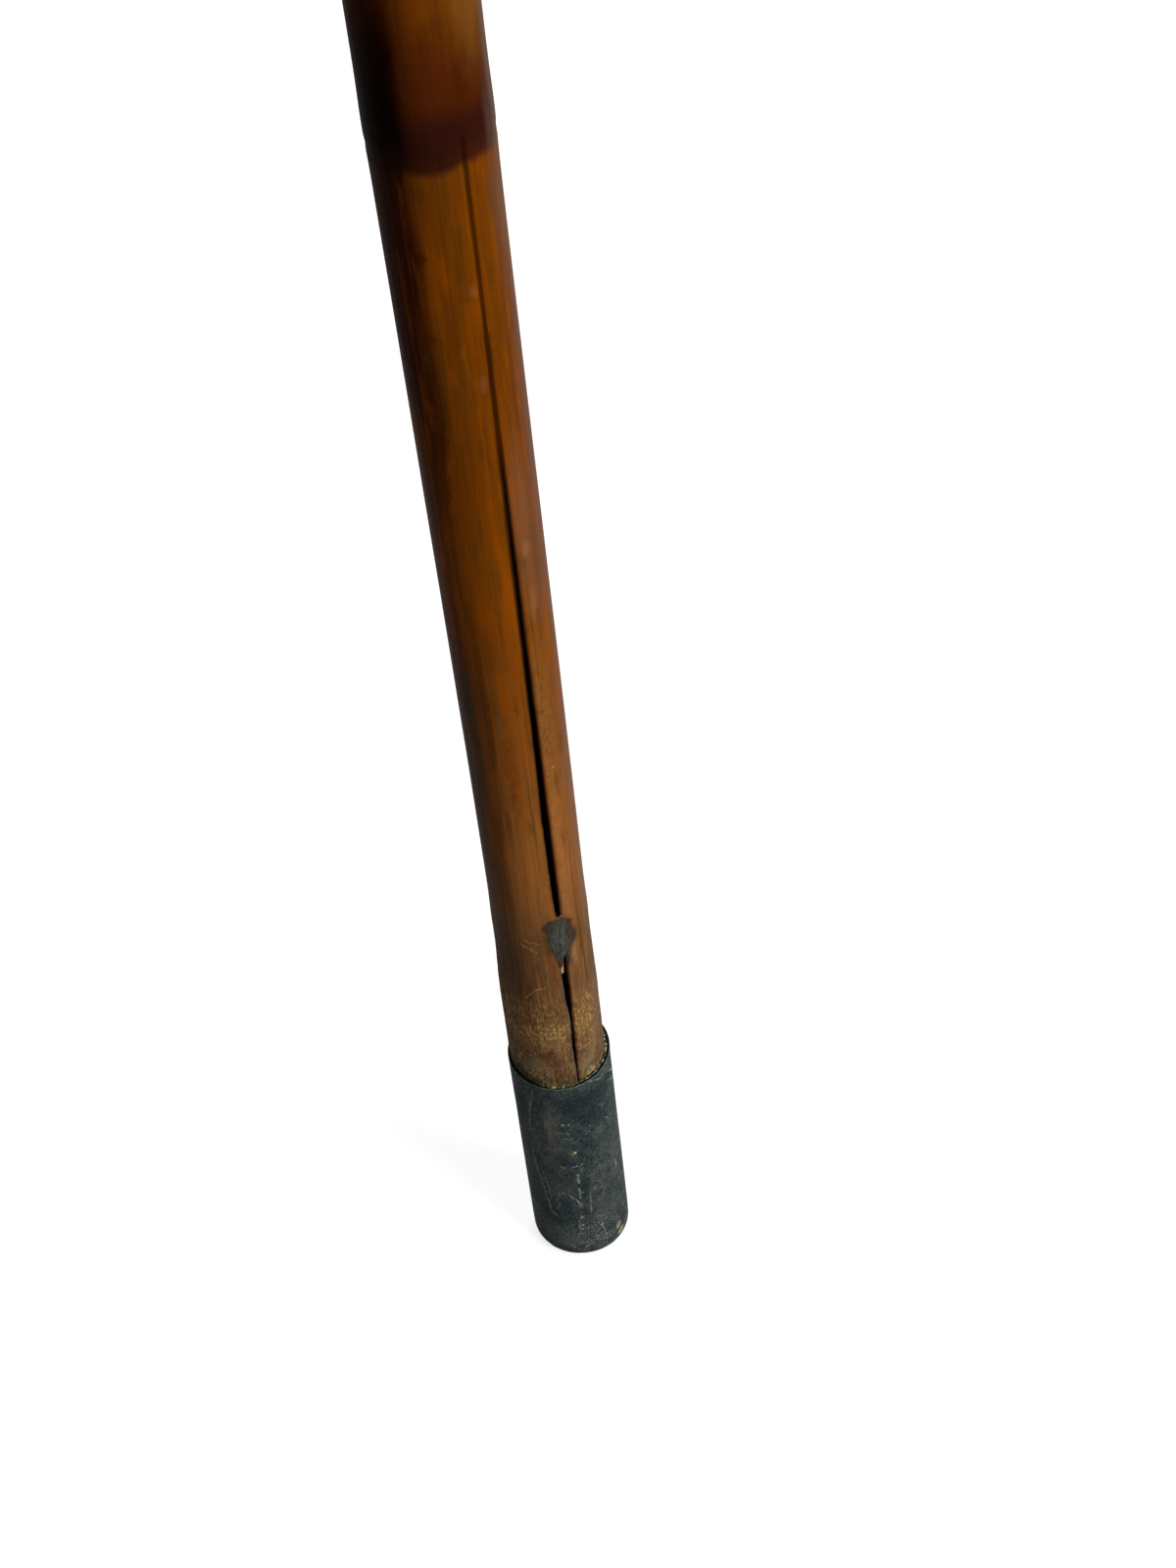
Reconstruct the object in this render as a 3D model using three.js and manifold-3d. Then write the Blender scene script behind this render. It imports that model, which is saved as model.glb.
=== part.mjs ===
// A walking cane: a bamboo culm in a blackened metal ferrule, with a carved hardwood knob at its head.
// Millimetres. +Z runs up the culm, the origin is the middle of the ferrule's flat base, and -Y is the front.
import * as THREE from "three";
import { ConvexGeometry } from "three/addons/geometries/ConvexGeometry.js";
import { mergeVertices } from "three/addons/utils/BufferGeometryUtils.js";
import Module from "manifold-3d";

const wasm = await Module();
wasm.setup();

// Ferrule: a drawn cup over the culm's foot
const ferruleLength = 63;
const ferruleWall = 0.5;
const ferruleBase = 2;
const ferruleEdgeRadius = 1.9;
const rimEdge = 0.15;

// Glue in the gap between the ferrule and the culm
const glueGap = 0.3;
const glueBead = 6;
const glueBelowRim = 0.2;
const glueSkin = 0.03;

// Culm: radii of its foot, of its waist above the lowest node, and of its top
const culmLength = 796;
const culmFootRadius = 9.25;
const culmWaistRadius = 8.9;
const culmTopRadius = 10.2;
const footAboveRim = 19;
const footTaper = 30;
const waistHeight = 150;

// The slight wander of grown bamboo, sideways and back
const swayLeft = 0.35;
const swayBack = 0.5;

// Nodes of the bamboo: each length between two nodes is a little shorter than the one below it
const firstNodeHeight = 107;
const firstInternode = 182;
const internodeShrink = 0.91;
const nodeRidge = 0.08;
const nodeRidgeSpan = 5;

// Hollow of the culm, with a pierced wall across it at each node
const boreRadius = 4.3;
const nodeWall = 3;
const nodeWallSlope = 2.5;
const pierceRadius = 2;

// Bud scar at the lowest node, filled with putty
const scarWidth = 4.3;
const scarRise = 9.5;
const scarDrop = 8.5;
const scarDepth = 1.6;
const scarClearance = 0.1;

// Drying crack through the wall of the culm, above and below the scar, on the same line as the scar
const crackAngle = 21;
const crackWidth = 1.4;
const crackDrift = 0.7;
const lowerCrackWidth = 1.15;
const lowerCrackBelly = 9;
const lowerCrackNeck = 0.3;
const lowerCrackLength = 66;

// Wooden plug in the foot of the hollow, and the dowel that carries the knob
const tipPlugLength = 45;
const plugClearance = 0.1;
const dowelInCulm = 40;
const dowelInKnob = 34;
const dowelEndGap = 0.3;

// Collar over the joint between the culm and the knob
const collarHeight = 24;
const collarWall = 0.6;
const collarFit = 0.1;

// Brass pins of the ferrule and the collar, in blind holes
const pinRadius = 0.7;
const pinClearance = 0.05;
const pinHoleFloor = 0.6;
const pinEndGap = 0.3;
const ferrulePinBelowRim = 23.3;
const ferrulePinAngle = 1.5;
const collarPinAngle = 150;

// Knob: a shoulder on the collar, a carved band between two grooves and two beads, a neck and a ball
const shoulderRadius = 11.8;
const beadRadius = 1.3;
const grooveWidth = 2;
const grooveDepth = 0.6;
const bandRadius = 12.1;
const bandHeight = 23;
const neckRadius = 10.8;
const neckLength = 13.5;
const ballRadius = 24;
const ballStart = -58;

// Chip carving of the band: rows of notches that point up and down by turns
const chipRows = 2;
const chipsAround = 12;
const chipDepth = 1.2;
const chipRidge = 0.9;
const chipMargin = 1.1;

// Facets round a turned piece, a bore and a pin, and the longest straight stretch of the culm
const facets = 36;
const boreFacets = 24;
const pinFacets = 12;
const culmStep = 40;

// How far a cutter runs past the surface that it cuts
const cutterReach = 1;

// Places worked out from the sizes above
const footHeight = ferruleBase;
const jointHeight = footHeight + culmLength;
const ferruleBore = culmFootRadius + glueGap;
const ferruleRadius = ferruleBore + ferruleWall;
const collarBore = culmTopRadius + collarFit;
const collarRadius = collarBore + collarWall;
const collarBottom = jointHeight - collarHeight / 2;
const collarTop = jointHeight + collarHeight / 2;
const scarTop = firstNodeHeight + scarRise;
const scarBottom = firstNodeHeight - scarDrop;
const scarFloor = culmWaistRadius - scarDepth;
const bandBottom = collarTop + 2 * beadRadius + grooveWidth;
const nodeHeights = culmNodes();

const bamboo = finish(0x6e4016, 0.38, 0);
const blackenedMetal = finish(0x2f3736, 0.5, 0.35);
const brass = finish(0xa88a3c, 0.4, 0.9);
const hardwood = finish(0x2e1c12, 0.35, 0);
const dowelWood = finish(0xa98455, 0.7, 0);
const glue = finish(0x6c6442, 0.8, 0);
const putty = finish(0x33342f, 0.7, 0);

function finish(color, roughness, metalness) {
  return new THREE.MeshStandardMaterial({ color, roughness, metalness });
}

// Heights of the nodes, as many as leave the top of the hollow free for the dowel
function culmNodes() {
  const heights = [];
  const highest = jointHeight - dowelInCulm - nodeWall / 2 - nodeWallSlope;
  let internode = firstInternode;
  for (let z = firstNodeHeight; z < highest; z += internode) {
    if (heights.length > 0) internode *= internodeShrink;
    heights.push(z);
  }
  return heights;
}

function point(radius, height) {
  return new THREE.Vector2(radius, height);
}

// Points of an arc in a profile, from one angle to another in degrees
function arc(centreRadius, centreHeight, radius, from, to, steps) {
  return Array.from({ length: steps + 1 }, (_, i) => {
    const angle = THREE.MathUtils.degToRad(from + ((to - from) * i) / steps);
    return point(centreRadius + radius * Math.cos(angle), centreHeight + radius * Math.sin(angle));
  });
}

// A profile of radius and height, turned round the cane's axis
function turned(profile, segments = facets) {
  return new THREE.LatheGeometry(profile, segments).rotateX(Math.PI / 2);
}

// A round rod in the bore, standing on the cane's axis
function rod(bottom, top) {
  const radius = boreRadius - plugClearance;
  return turned([point(0, bottom), point(radius, bottom), point(radius, top), point(0, top)], boreFacets);
}

// A closed geometry as a solid that can be cut or joined, and a solid back as a geometry
function solid(geometry) {
  const bare = geometry.clone();
  bare.deleteAttribute("normal");
  bare.deleteAttribute("uv");
  const merged = mergeVertices(bare, 1e-4);
  return new wasm.Manifold(
    new wasm.Mesh({
      numProp: 3,
      vertProperties: merged.attributes.position.array,
      triVerts: new Uint32Array(merged.index.array),
    }),
  );
}

function geometryOf(cut) {
  const mesh = cut.getMesh();
  const made = new THREE.BufferGeometry();
  made.setAttribute("position", new THREE.BufferAttribute(mesh.vertProperties, 3));
  made.setIndex(new THREE.BufferAttribute(mesh.triVerts, 1));
  made.computeVertexNormals();
  return made;
}

// A flat outline of x and height, pushed out to the front from one radius to another and turned round the axis
function frontPrism(shape, innerRadius, outerRadius, angle) {
  const depth = outerRadius - innerRadius;
  return new THREE.ExtrudeGeometry(shape, { depth, bevelEnabled: false, curveSegments: 8 })
    .rotateX(Math.PI / 2)
    .translate(0, -innerRadius, 0)
    .rotateZ(THREE.MathUtils.degToRad(angle));
}

// A small round bar that points at the axis, from an outer radius in to an inner one
function radialBar(radius, outer, inner, height, angle) {
  return new THREE.CylinderGeometry(radius, radius, outer - inner, pinFacets)
    .translate(0, -(outer + inner) / 2, height)
    .rotateZ(THREE.MathUtils.degToRad(angle));
}

// Pins end just short of the floor of their holes, and the floor is a little wood outside the bore
function pin(headRadius, height, angle) {
  return radialBar(pinRadius, headRadius, boreRadius + pinHoleFloor + pinEndGap, height, angle);
}

function pinHole(headRadius, height, angle) {
  const width = pinRadius + pinClearance;
  return solid(radialBar(width, headRadius + cutterReach, boreRadius + pinHoleFloor, height, angle));
}

// The three pins: their metal piece's outer radius, height and angle
const ferrulePin = [ferruleRadius, ferruleLength - ferrulePinBelowRim, ferrulePinAngle];
const lowerCollarPin = [collarRadius, jointHeight - collarHeight / 4, collarPinAngle];
const upperCollarPin = [collarRadius, jointHeight + collarHeight / 4, collarPinAngle + 180];

// Outside of the culm: a full foot, a waist, a steady swell to the top, and a low ridge at each node
function culmRadius(z) {
  const taperStart = ferruleLength + footAboveRim;
  const foot = 1 - THREE.MathUtils.smoothstep(z, taperStart, taperStart + footTaper);
  const swell = Math.max(0, (z - waistHeight) / (jointHeight - waistHeight));
  const ridge = nodeHeights.some((node) => Math.abs(z - node) < nodeRidgeSpan / 2) ? nodeRidge : 0;
  const fuller = (culmFootRadius - culmWaistRadius) * foot;
  return culmWaistRadius + fuller + (culmTopRadius - culmWaistRadius) * swell + ridge;
}

// The wander of the culm, which is nothing in the ferrule and in the collar
function swayed(made) {
  const position = made.getAttribute("position");
  for (let i = 0; i < position.count; i += 1) {
    const rise = (position.getZ(i) - ferruleLength) / (collarBottom - ferruleLength);
    const t = THREE.MathUtils.clamp(rise, 0, 1);
    const free = Math.sin(Math.PI * t) ** 2;
    position.setX(i, position.getX(i) - swayLeft * free * Math.sin(3 * Math.PI * t - 1));
    position.setY(i, position.getY(i) + swayBack * free * Math.cos(2 * Math.PI * t));
  }
  return made;
}

function culmOutside() {
  const taperStart = ferruleLength + footAboveRim;
  const levels = [footHeight, taperStart, taperStart + footTaper / 2, taperStart + footTaper, jointHeight];
  for (const node of nodeHeights) levels.push(node - nodeRidgeSpan, node, node + nodeRidgeSpan);
  for (let z = footHeight + culmStep; z < jointHeight; z += culmStep) {
    if (levels.every((level) => Math.abs(level - z) > culmStep / 4)) levels.push(z);
  }
  levels.sort((a, b) => a - b);
  const side = levels.map((z) => point(culmRadius(z), z));
  return swayed(turned([point(0, footHeight), ...side, point(0, jointHeight)]));
}

function culmHollow() {
  const bottom = footHeight - cutterReach;
  const top = jointHeight + cutterReach;
  const profile = [point(0, bottom), point(boreRadius, bottom)];
  for (const node of nodeHeights) {
    const half = nodeWall / 2;
    profile.push(point(boreRadius, node - half - nodeWallSlope), point(pierceRadius, node - half));
    profile.push(point(pierceRadius, node + half), point(boreRadius, node + half + nodeWallSlope));
  }
  profile.push(point(boreRadius, top), point(0, top));
  return swayed(turned(profile, boreFacets));
}

// The crack above the scar: widest just over it, closing to nothing at the next node
function upperCrack() {
  const bottom = scarTop - cutterReach;
  const top = nodeHeights[1] ?? jointHeight - dowelInCulm;
  const steps = 10;
  const edge = (side) =>
    Array.from({ length: steps }, (_, i) => {
      const t = i / steps;
      const half = (crackWidth * (1 - t) * (1 + 0.7 * t)) / 2;
      return point(crackDrift * t * t + side * half, THREE.MathUtils.lerp(bottom, top, t));
    });
  return new THREE.Shape([...edge(1), point(crackDrift, top), ...edge(-1).reverse()]);
}

// The crack below the scar: wide at the scar's tip, then a narrow neck that runs down inside the ferrule
function lowerCrack() {
  const half = lowerCrackWidth / 2;
  const neck = lowerCrackNeck / 2;
  const neckHeight = scarBottom - 2 * lowerCrackBelly;
  return new THREE.Shape([
    point(0, scarBottom - lowerCrackLength),
    point(neck, neckHeight),
    point(half, scarBottom - lowerCrackBelly),
    point(half, scarBottom - half),
    point(0, scarBottom + half),
    point(-half, scarBottom - half),
    point(-half, scarBottom - lowerCrackBelly),
    point(-neck, neckHeight),
  ]);
}

// A teardrop, round above and drawn to a tip below, grown on every side by a clearance
function scarOutline(grow) {
  const half = scarWidth / 2 + grow;
  const top = scarTop + grow;
  const tip = scarBottom - grow;
  const widest = THREE.MathUtils.lerp(tip, top, 0.82);
  const waist = THREE.MathUtils.lerp(tip, top, 0.6);
  const drawn = THREE.MathUtils.lerp(tip, top, 0.22);
  const shape = new THREE.Shape();
  shape.moveTo(0, tip);
  shape.bezierCurveTo(half / 2, drawn, half, waist, half, widest);
  shape.bezierCurveTo(half, top, half / 2, top, 0, top);
  shape.bezierCurveTo(-half / 2, top, -half, top, -half, widest);
  shape.bezierCurveTo(-half, waist, -half / 2, drawn, 0, tip);
  return shape;
}

function scarPocket() {
  const outer = culmTopRadius + cutterReach;
  return solid(frontPrism(scarOutline(scarClearance), scarFloor - scarClearance, outer, crackAngle));
}

function culmGeometry() {
  const inner = boreRadius - cutterReach;
  const outer = culmTopRadius + cutterReach;
  const cutters = [
    solid(culmHollow()),
    solid(frontPrism(upperCrack(), inner, outer, crackAngle)),
    solid(frontPrism(lowerCrack(), inner, outer, crackAngle)),
    scarPocket(),
    pinHole(...ferrulePin),
    pinHole(...lowerCollarPin),
  ];
  return geometryOf(cutters.reduce((culm, cutter) => culm.subtract(cutter), solid(culmOutside())));
}

// The putty fills the scar flush with the culm's outside
function scarFillerGeometry() {
  const prism = frontPrism(scarOutline(0), scarFloor, culmTopRadius, crackAngle);
  return geometryOf(solid(prism).intersect(solid(culmOutside())));
}

function ferruleGeometry() {
  const cup = turned([
    point(0, 0),
    ...arc(ferruleRadius - ferruleEdgeRadius, ferruleEdgeRadius, ferruleEdgeRadius, -90, 0, 5),
    point(ferruleRadius, ferruleLength - rimEdge),
    point(ferruleRadius - rimEdge, ferruleLength),
    point(ferruleBore, ferruleLength),
    point(ferruleBore, ferruleBase),
    point(0, ferruleBase),
  ]);
  return geometryOf(solid(cup).subtract(pinHole(...ferrulePin)));
}

// A plain ring, by its inner and outer radius and its ends
function ring(inner, outer, bottom, top) {
  return turned([
    point(inner, bottom),
    point(outer, bottom),
    point(outer, top),
    point(inner, top),
    point(inner, bottom),
  ]);
}

function glueGeometry() {
  const top = ferruleLength - glueBelowRim;
  return ring(culmFootRadius + glueSkin, ferruleBore - glueSkin, top - glueBead, top);
}

function collarGeometry() {
  const band = turned([
    point(collarBore, collarBottom),
    point(collarRadius - rimEdge, collarBottom),
    point(collarRadius, collarBottom + rimEdge),
    point(collarRadius, collarTop - rimEdge),
    point(collarRadius - rimEdge, collarTop),
    point(collarBore, collarTop),
    point(collarBore, collarBottom),
  ]);
  return geometryOf(solid(band).subtract(pinHole(...lowerCollarPin)).subtract(pinHole(...upperCollarPin)));
}

// The knob's outline, from its seat on the culm to the top of the ball
function knobProfile() {
  const lowerBead = collarTop + beadRadius;
  const bandTop = bandBottom + bandHeight;
  const upperBead = bandTop + grooveWidth + beadRadius;
  const neckBottom = upperBead + beadRadius;
  const grooveRadius = shoulderRadius - grooveDepth;
  const ballBottom = neckBottom + neckLength;
  const start = THREE.MathUtils.degToRad(ballStart);
  const ballCentre = ballBottom - ballRadius * Math.sin(start);
  const neck = new THREE.QuadraticBezierCurve(
    point(neckRadius, neckBottom),
    point(neckRadius, ballBottom - neckLength / 3),
    point(ballRadius * Math.cos(start), ballBottom),
  );
  return [
    point(0, jointHeight),
    point(culmTopRadius, jointHeight),
    point(culmTopRadius, collarTop),
    ...arc(shoulderRadius, lowerBead, beadRadius, -90, 90, 5),
    point(grooveRadius, lowerBead + beadRadius),
    point(grooveRadius, bandBottom),
    point(bandRadius, bandBottom),
    point(bandRadius, bandTop),
    point(grooveRadius, bandTop),
    point(grooveRadius, bandTop + grooveWidth),
    ...arc(shoulderRadius, upperBead, beadRadius, -90, 90, 5),
    ...neck.getPoints(6).slice(0, -1),
    ...arc(0, ballCentre, ballRadius, ballStart, 90, 16),
  ];
}

// One notch of the carving: three faces that meet at its deepest point, under the notch's outline on the band
function chip(angle, base, tip) {
  const pitch = (2 * Math.PI * bandRadius) / chipsAround;
  const half = (pitch / 2 - chipRidge) / bandRadius;
  const at = (turn, radius, height) =>
    new THREE.Vector3(radius * Math.sin(angle + turn), -radius * Math.cos(angle + turn), height);
  const deepest = at(0, bandRadius - chipDepth, THREE.MathUtils.lerp(base, tip, 0.36));
  const corners = [at(-half, bandRadius, base), at(half, bandRadius, base), at(0, bandRadius, tip)];
  const outside = corners.map((corner) => corner.lerpVectors(deepest, corner, 1.5));
  return solid(new ConvexGeometry([deepest, ...outside]));
}

function knobGeometry() {
  const holeTop = jointHeight + dowelInKnob + dowelEndGap;
  const dowelHole = turned(
    [
      point(0, jointHeight - cutterReach),
      point(boreRadius, jointHeight - cutterReach),
      point(boreRadius, holeTop),
      point(0, holeTop),
    ],
    boreFacets,
  );
  let knob = solid(turned(knobProfile())).subtract(solid(dowelHole)).subtract(pinHole(...upperCollarPin));
  const rowHeight = bandHeight / chipRows;
  const pitchAngle = (2 * Math.PI) / chipsAround;
  for (let row = 0; row < chipRows; row += 1) {
    const low = bandBottom + row * rowHeight + chipMargin;
    const high = low + rowHeight - 2 * chipMargin;
    for (let i = 0; i < chipsAround; i += 1) {
      knob = knob.subtract(chip(i * pitchAngle, low, high)).subtract(chip((i + 0.5) * pitchAngle, high, low));
    }
  }
  return geometryOf(knob);
}

function piece(name, geometry, material) {
  const mesh = new THREE.Mesh(geometry, material);
  mesh.name = name;
  return mesh;
}

const cane = new THREE.Group();
cane.add(
  piece("ferrule", ferruleGeometry(), blackenedMetal),
  piece("ferrule_glue", glueGeometry(), glue),
  piece("ferrule_pin", pin(...ferrulePin), brass),
  piece("tip_plug", rod(footHeight, footHeight + tipPlugLength), dowelWood),
  piece("culm", culmGeometry(), bamboo),
  piece("scar_filler", scarFillerGeometry(), putty),
  piece("knob_dowel", rod(jointHeight - dowelInCulm, jointHeight + dowelInKnob), dowelWood),
  piece("collar", collarGeometry(), blackenedMetal),
  piece("collar_pin_lower", pin(...lowerCollarPin), brass),
  piece("collar_pin_upper", pin(...upperCollarPin), brass),
  piece("knob", knobGeometry(), hardwood),
);

export default cane;
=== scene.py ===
import math

import bmesh
import bpy
import numpy as np
from mathutils import Matrix, Vector, noise


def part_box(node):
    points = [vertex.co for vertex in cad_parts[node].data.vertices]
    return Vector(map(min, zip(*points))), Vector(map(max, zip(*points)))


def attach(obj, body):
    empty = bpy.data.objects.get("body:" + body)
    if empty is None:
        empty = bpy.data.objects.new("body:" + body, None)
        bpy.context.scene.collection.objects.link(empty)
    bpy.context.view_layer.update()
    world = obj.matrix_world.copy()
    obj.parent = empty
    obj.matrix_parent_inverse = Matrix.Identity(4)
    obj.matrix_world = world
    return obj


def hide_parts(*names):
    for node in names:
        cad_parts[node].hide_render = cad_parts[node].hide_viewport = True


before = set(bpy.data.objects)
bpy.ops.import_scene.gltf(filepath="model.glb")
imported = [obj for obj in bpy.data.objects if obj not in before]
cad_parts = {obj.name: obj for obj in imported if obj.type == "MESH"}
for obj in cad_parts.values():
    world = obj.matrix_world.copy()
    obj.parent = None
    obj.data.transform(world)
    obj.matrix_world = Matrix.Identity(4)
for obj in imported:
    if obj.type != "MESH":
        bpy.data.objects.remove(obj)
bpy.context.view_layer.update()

scene = bpy.context.scene
MM = 0.001

# The culm
# One dressed length of bamboo, toasted over a flame and varnished, with the varnish worn off its foot. It has split
# with age: one crack runs down from the second node to a bud scar, and another from there into the ferrule.

# Angles are degrees round the cane from its front towards +X, and heights are millimetres above the ground.
culm_low, culm_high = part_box("culm")
culm_foot = culm_low.z / MM
culm_top = culm_high.z / MM
foot_radius = 9.25
waist_radius = 8.9
top_radius = 10.2
foot_taper = (82, 112)
waist_height = 150
bore_radius = 4.3
node_wall = (1.5, 4.0)
pierced_radius = 2.0
node_swell = 0.14
swell_reach = 6
swell_lift = 1.5
node_groove = 0.1
groove_reach = 0.6
groove_drop = 1.6
foot_swell = 0.14
foot_swells = (63.5, 68)
foot_narrows = (84, 100)
row_clearance = 0.25
fibre_wave = 0.055
fibre_depth = 0.025
worn_fibre_depth = 0.045
foot_roughness = 0.05
scored_ring = 77.3
score_depth = 0.07
score_width = 0.45
sway_left = 0.35
sway_back = 0.5
sway_span = (63, 786)
bow_right = 0.25
bow_span = (90, 420)
foot_left = 0.12
node_heights = [107.0]
internode = 182.0
while len(node_heights) < 5:
    node_heights.append(node_heights[-1] + internode)
    internode *= 0.91

# Heights, with the crack's left and right edge in degrees. Where both are the same, it is closed.
crack_heights, crack_left, crack_right = np.array([
    (2, 20.5, 20.5), (32, 20.5, 20.5), (60, 19.3, 21.4), (66, 19.5, 21.4), (75, 18.3, 22.1), (82.5, 19.5, 22.6),
    (86, 18.9, 23.4), (90, 17.4, 24.2), (95, 16.4, 23.9), (98.5, 16.2, 23.8), (98.9, 19.6, 23.9), (101, 20.6, 23.9),
    (103.6, 21.6, 23.4), (104.4, 22.4, 22.4), (115.5, 21.4, 21.4), (115.9, 18.6, 24.2), (120, 17.3, 24.8),
    (140, 16.4, 24.9), (150, 17, 25), (160, 18.8, 25.1), (180, 20.1, 25), (200, 21.6, 25), (215, 22.6, 24.8),
    (226, 23.3, 24.6), (234, 23.9, 23.9), (266, 24.5, 24.5), (798, 24.5, 24.5)]).T
crack_taper = 0.55
lip_round = 0.13
wall_steps = (0.05, 0.3, 0.65)
# Heights, with the bud scar's left edge or its right edge in degrees
scar_left = np.array([
    (100.2, 15.8), (101, 13.9), (103, 11.6), (105, 9.8), (107, 7.6), (110, 4.8), (112.5, 2.4), (113.2, 1.4),
    (113.9, 2.6), (114.5, 6), (115, 11), (115.4, 17)]).T
scar_right = np.array([
    (100.2, 16.2), (101.2, 18.6), (103.4, 20.8), (104.4, 24.5), (105, 31), (107, 35.5), (109, 37.5), (111, 38),
    (112.4, 37.4), (113.4, 35), (114.3, 30), (115, 24), (115.4, 18)]).T
scar_bottom, scar_top = scar_left[0, [0, -1]]
scar_depth = 1.5
scar_ragged = 2.2


class Nodes:
    """A node tree in the making: each call adds to it and gives back what comes out."""

    def __init__(self, tree):
        self.tree = tree

    def feed(self, socket, value):
        if isinstance(value, bpy.types.NodeSocket):
            self.tree.links.new(value, socket)
        else:
            socket.default_value = value

    def node(self, kind, inputs=None, **settings):
        made = self.tree.nodes.new(kind)
        for name, value in settings.items():
            setattr(made, name, value)
        for socket, value in (inputs or {}).items():
            self.feed(made.inputs[socket], value)
        return made.outputs

    def math(self, operation, first, *others):
        """An operation on two values, and then on what it gives and each further one."""
        for other in others or (0.0,):
            first = self.node("ShaderNodeMath", {0: first, 1: other}, operation=operation)[0]
        return first

    def times(self, *values):
        return self.math("MULTIPLY", *values)

    def plus(self, *values):
        return self.math("ADD", *values)

    def minus(self, *values):
        return self.math("SUBTRACT", *values)

    def joined(self, x, y, z):
        return self.node("ShaderNodeCombineXYZ", {0: x, 1: y, 2: z})[0]

    def vector(self, operation, a, b=(0, 0, 0), output="Vector"):
        return self.node("ShaderNodeVectorMath", {0: a, 1: b}, operation=operation)[output]


def paint(tone):
    """Red, green and blue as they are seen on a screen, from 0 to 255, in the shader's linear terms."""
    share = np.array(tone) / 255
    linear = np.where(share <= 0.04045, share / 12.92, ((share + 0.055) / 1.055) ** 2.4)
    return (*linear.tolist(), 1.0)


class Finish(Nodes):
    """A material in the making. Sizes are in millimetres, and a place on it is degrees and a height."""

    def __init__(self, name, radius=0.0):
        self.material = bpy.data.materials.new(name)
        self.material.use_nodes = True
        super().__init__(self.material.node_tree)
        self.radius = radius
        self.place = self.vector("MULTIPLY", self.node("ShaderNodeTexCoord")["Object"], (1 / MM, 1 / MM, 1 / MM))
        x, y, self.height = self.node("ShaderNodeSeparateXYZ", {0: self.place})
        self.angle = self.times(self.math("ARCTAN2", x, self.times(y, -1)), math.degrees(1))

    def surface(self, **inputs):
        """Feeds the surface's own sockets, named with _ for a space, and its colour."""
        for name, value in {"Base_Color": self.colour, **inputs}.items():
            self.feed(self.tree.nodes["Principled BSDF"].inputs[name.replace("_", " ")], value)
        return self.material

    def marked(self, name):
        """A mark that the mesh carries."""
        return self.node("ShaderNodeAttribute", attribute_name=name)["Fac"]

    def mix(self, amount, *tones):
        """The first tone or colour, and the second one over it by an amount."""
        first, second = [tone if isinstance(tone, bpy.types.NodeSocket) else paint(tone) for tone in tones]
        return self.node("ShaderNodeMix", {0: amount, 6: first, 7: second}, data_type="RGBA")[2]

    def lay(self, strength, tone, *masks):
        """Lays a tone over the colour, where all the masks are."""
        self.colour = self.mix(self.times(*masks, strength), self.colour, tone)

    def grain(self, pattern, start, end, strength, tone, *masks):
        """Lays a tone over the colour by how far a pattern has gone from start to end."""
        self.lay(strength, tone, self.fade(pattern, start, end), *masks)

    def fade(self, value, start, end, low=0, high=1):
        """Runs smoothly from low to high while the value goes from start to end."""
        inputs = {"Value": value, "From Min": start, "From Max": end, "To Min": low, "To Max": high}
        return self.node("ShaderNodeMapRange", inputs, interpolation_type="SMOOTHSTEP", clamp=False)["Result"]

    def between(self, value, start, end, soft):
        """One from start to end, and nothing past them."""
        return self.times(self.fade(value, start - soft, start + soft), self.fade(value, end + soft, end - soft))

    def most(self, masks, strongest=0.0):
        """The strongest of pairs of a mask and its strength."""
        for mask, strength in masks:
            strongest = self.math("MAXIMUM", strongest, self.times(mask, strength))
        return strongest

    def speckle(self, width, length, detail=2, roughness=0.5, shift=0, output="Fac"):
        """Noise from 0 to 1 with lumps of a width, and of a length up the cane."""
        stretched = self.vector("DIVIDE", self.place, (width, width, length))
        moved = self.vector("ADD", stretched, (shift, shift * 1.7, shift * 2.3))
        inputs = {"Vector": moved, "Scale": 1, "Detail": detail, "Roughness": roughness}
        return self.node("ShaderNodeTexNoise", inputs)[output]

    def unrolled(self, wander=(0, 0), size=5):
        """The surface unrolled, in millimetres round it and up it, wandering a little where asked to."""
        flat = self.joined(self.times(self.angle, math.radians(self.radius)), self.height, 0)
        shades = self.node("ShaderNodeSeparateColor", {0: self.speckle(size, size * 1.6, 3, output="Color")})
        shake = self.vector("SUBTRACT", self.joined(shades[0], shades[1], 0.5), (0.5, 0.5, 0.5))
        return self.vector("ADD", flat, self.vector("MULTIPLY", shake, (wander[0] * 2, wander[1] * 2, 0)))

    def at(self, degrees, height):
        """A place on the unrolled surface, in millimetres."""
        return Vector((math.radians(degrees) * self.radius, height, 0))

    def stroke(self, flat, line, width, soft=0.5):
        """A line by the places of its two ends, from 1 along its middle to 0 at its sides."""
        start = self.at(*line[:2])
        run = self.at(*line[2:]) - start
        from_start = self.vector("SUBTRACT", flat, start)
        along = self.vector("DOT_PRODUCT", from_start, run, "Value")
        share = self.math("DIVIDE", along, max(run.length_squared, 1e-4))
        share = self.math("MINIMUM", self.math("MAXIMUM", share, 0), 1)
        step = self.node("ShaderNodeVectorMath", {0: run, "Scale": share}, operation="SCALE")["Vector"]
        distance = self.vector("LENGTH", self.vector("SUBTRACT", from_start, step), output="Value")
        return self.fade(distance, width / 2 * (1 + soft), width / 2 * (1 - soft))

    def spot(self, flat, oval, soft=0.8):
        """An oval by the place of its middle, its width and its length, from 1 in its middle to 0 at its rim."""
        away = self.vector("SUBTRACT", flat, self.at(*oval[:2]))
        scaled = self.vector("DIVIDE", away, (oval[2] / 2, oval[3] / 2, 1))
        return self.fade(self.vector("LENGTH", scaled, output="Value"), 1, 1 - soft)

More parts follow.
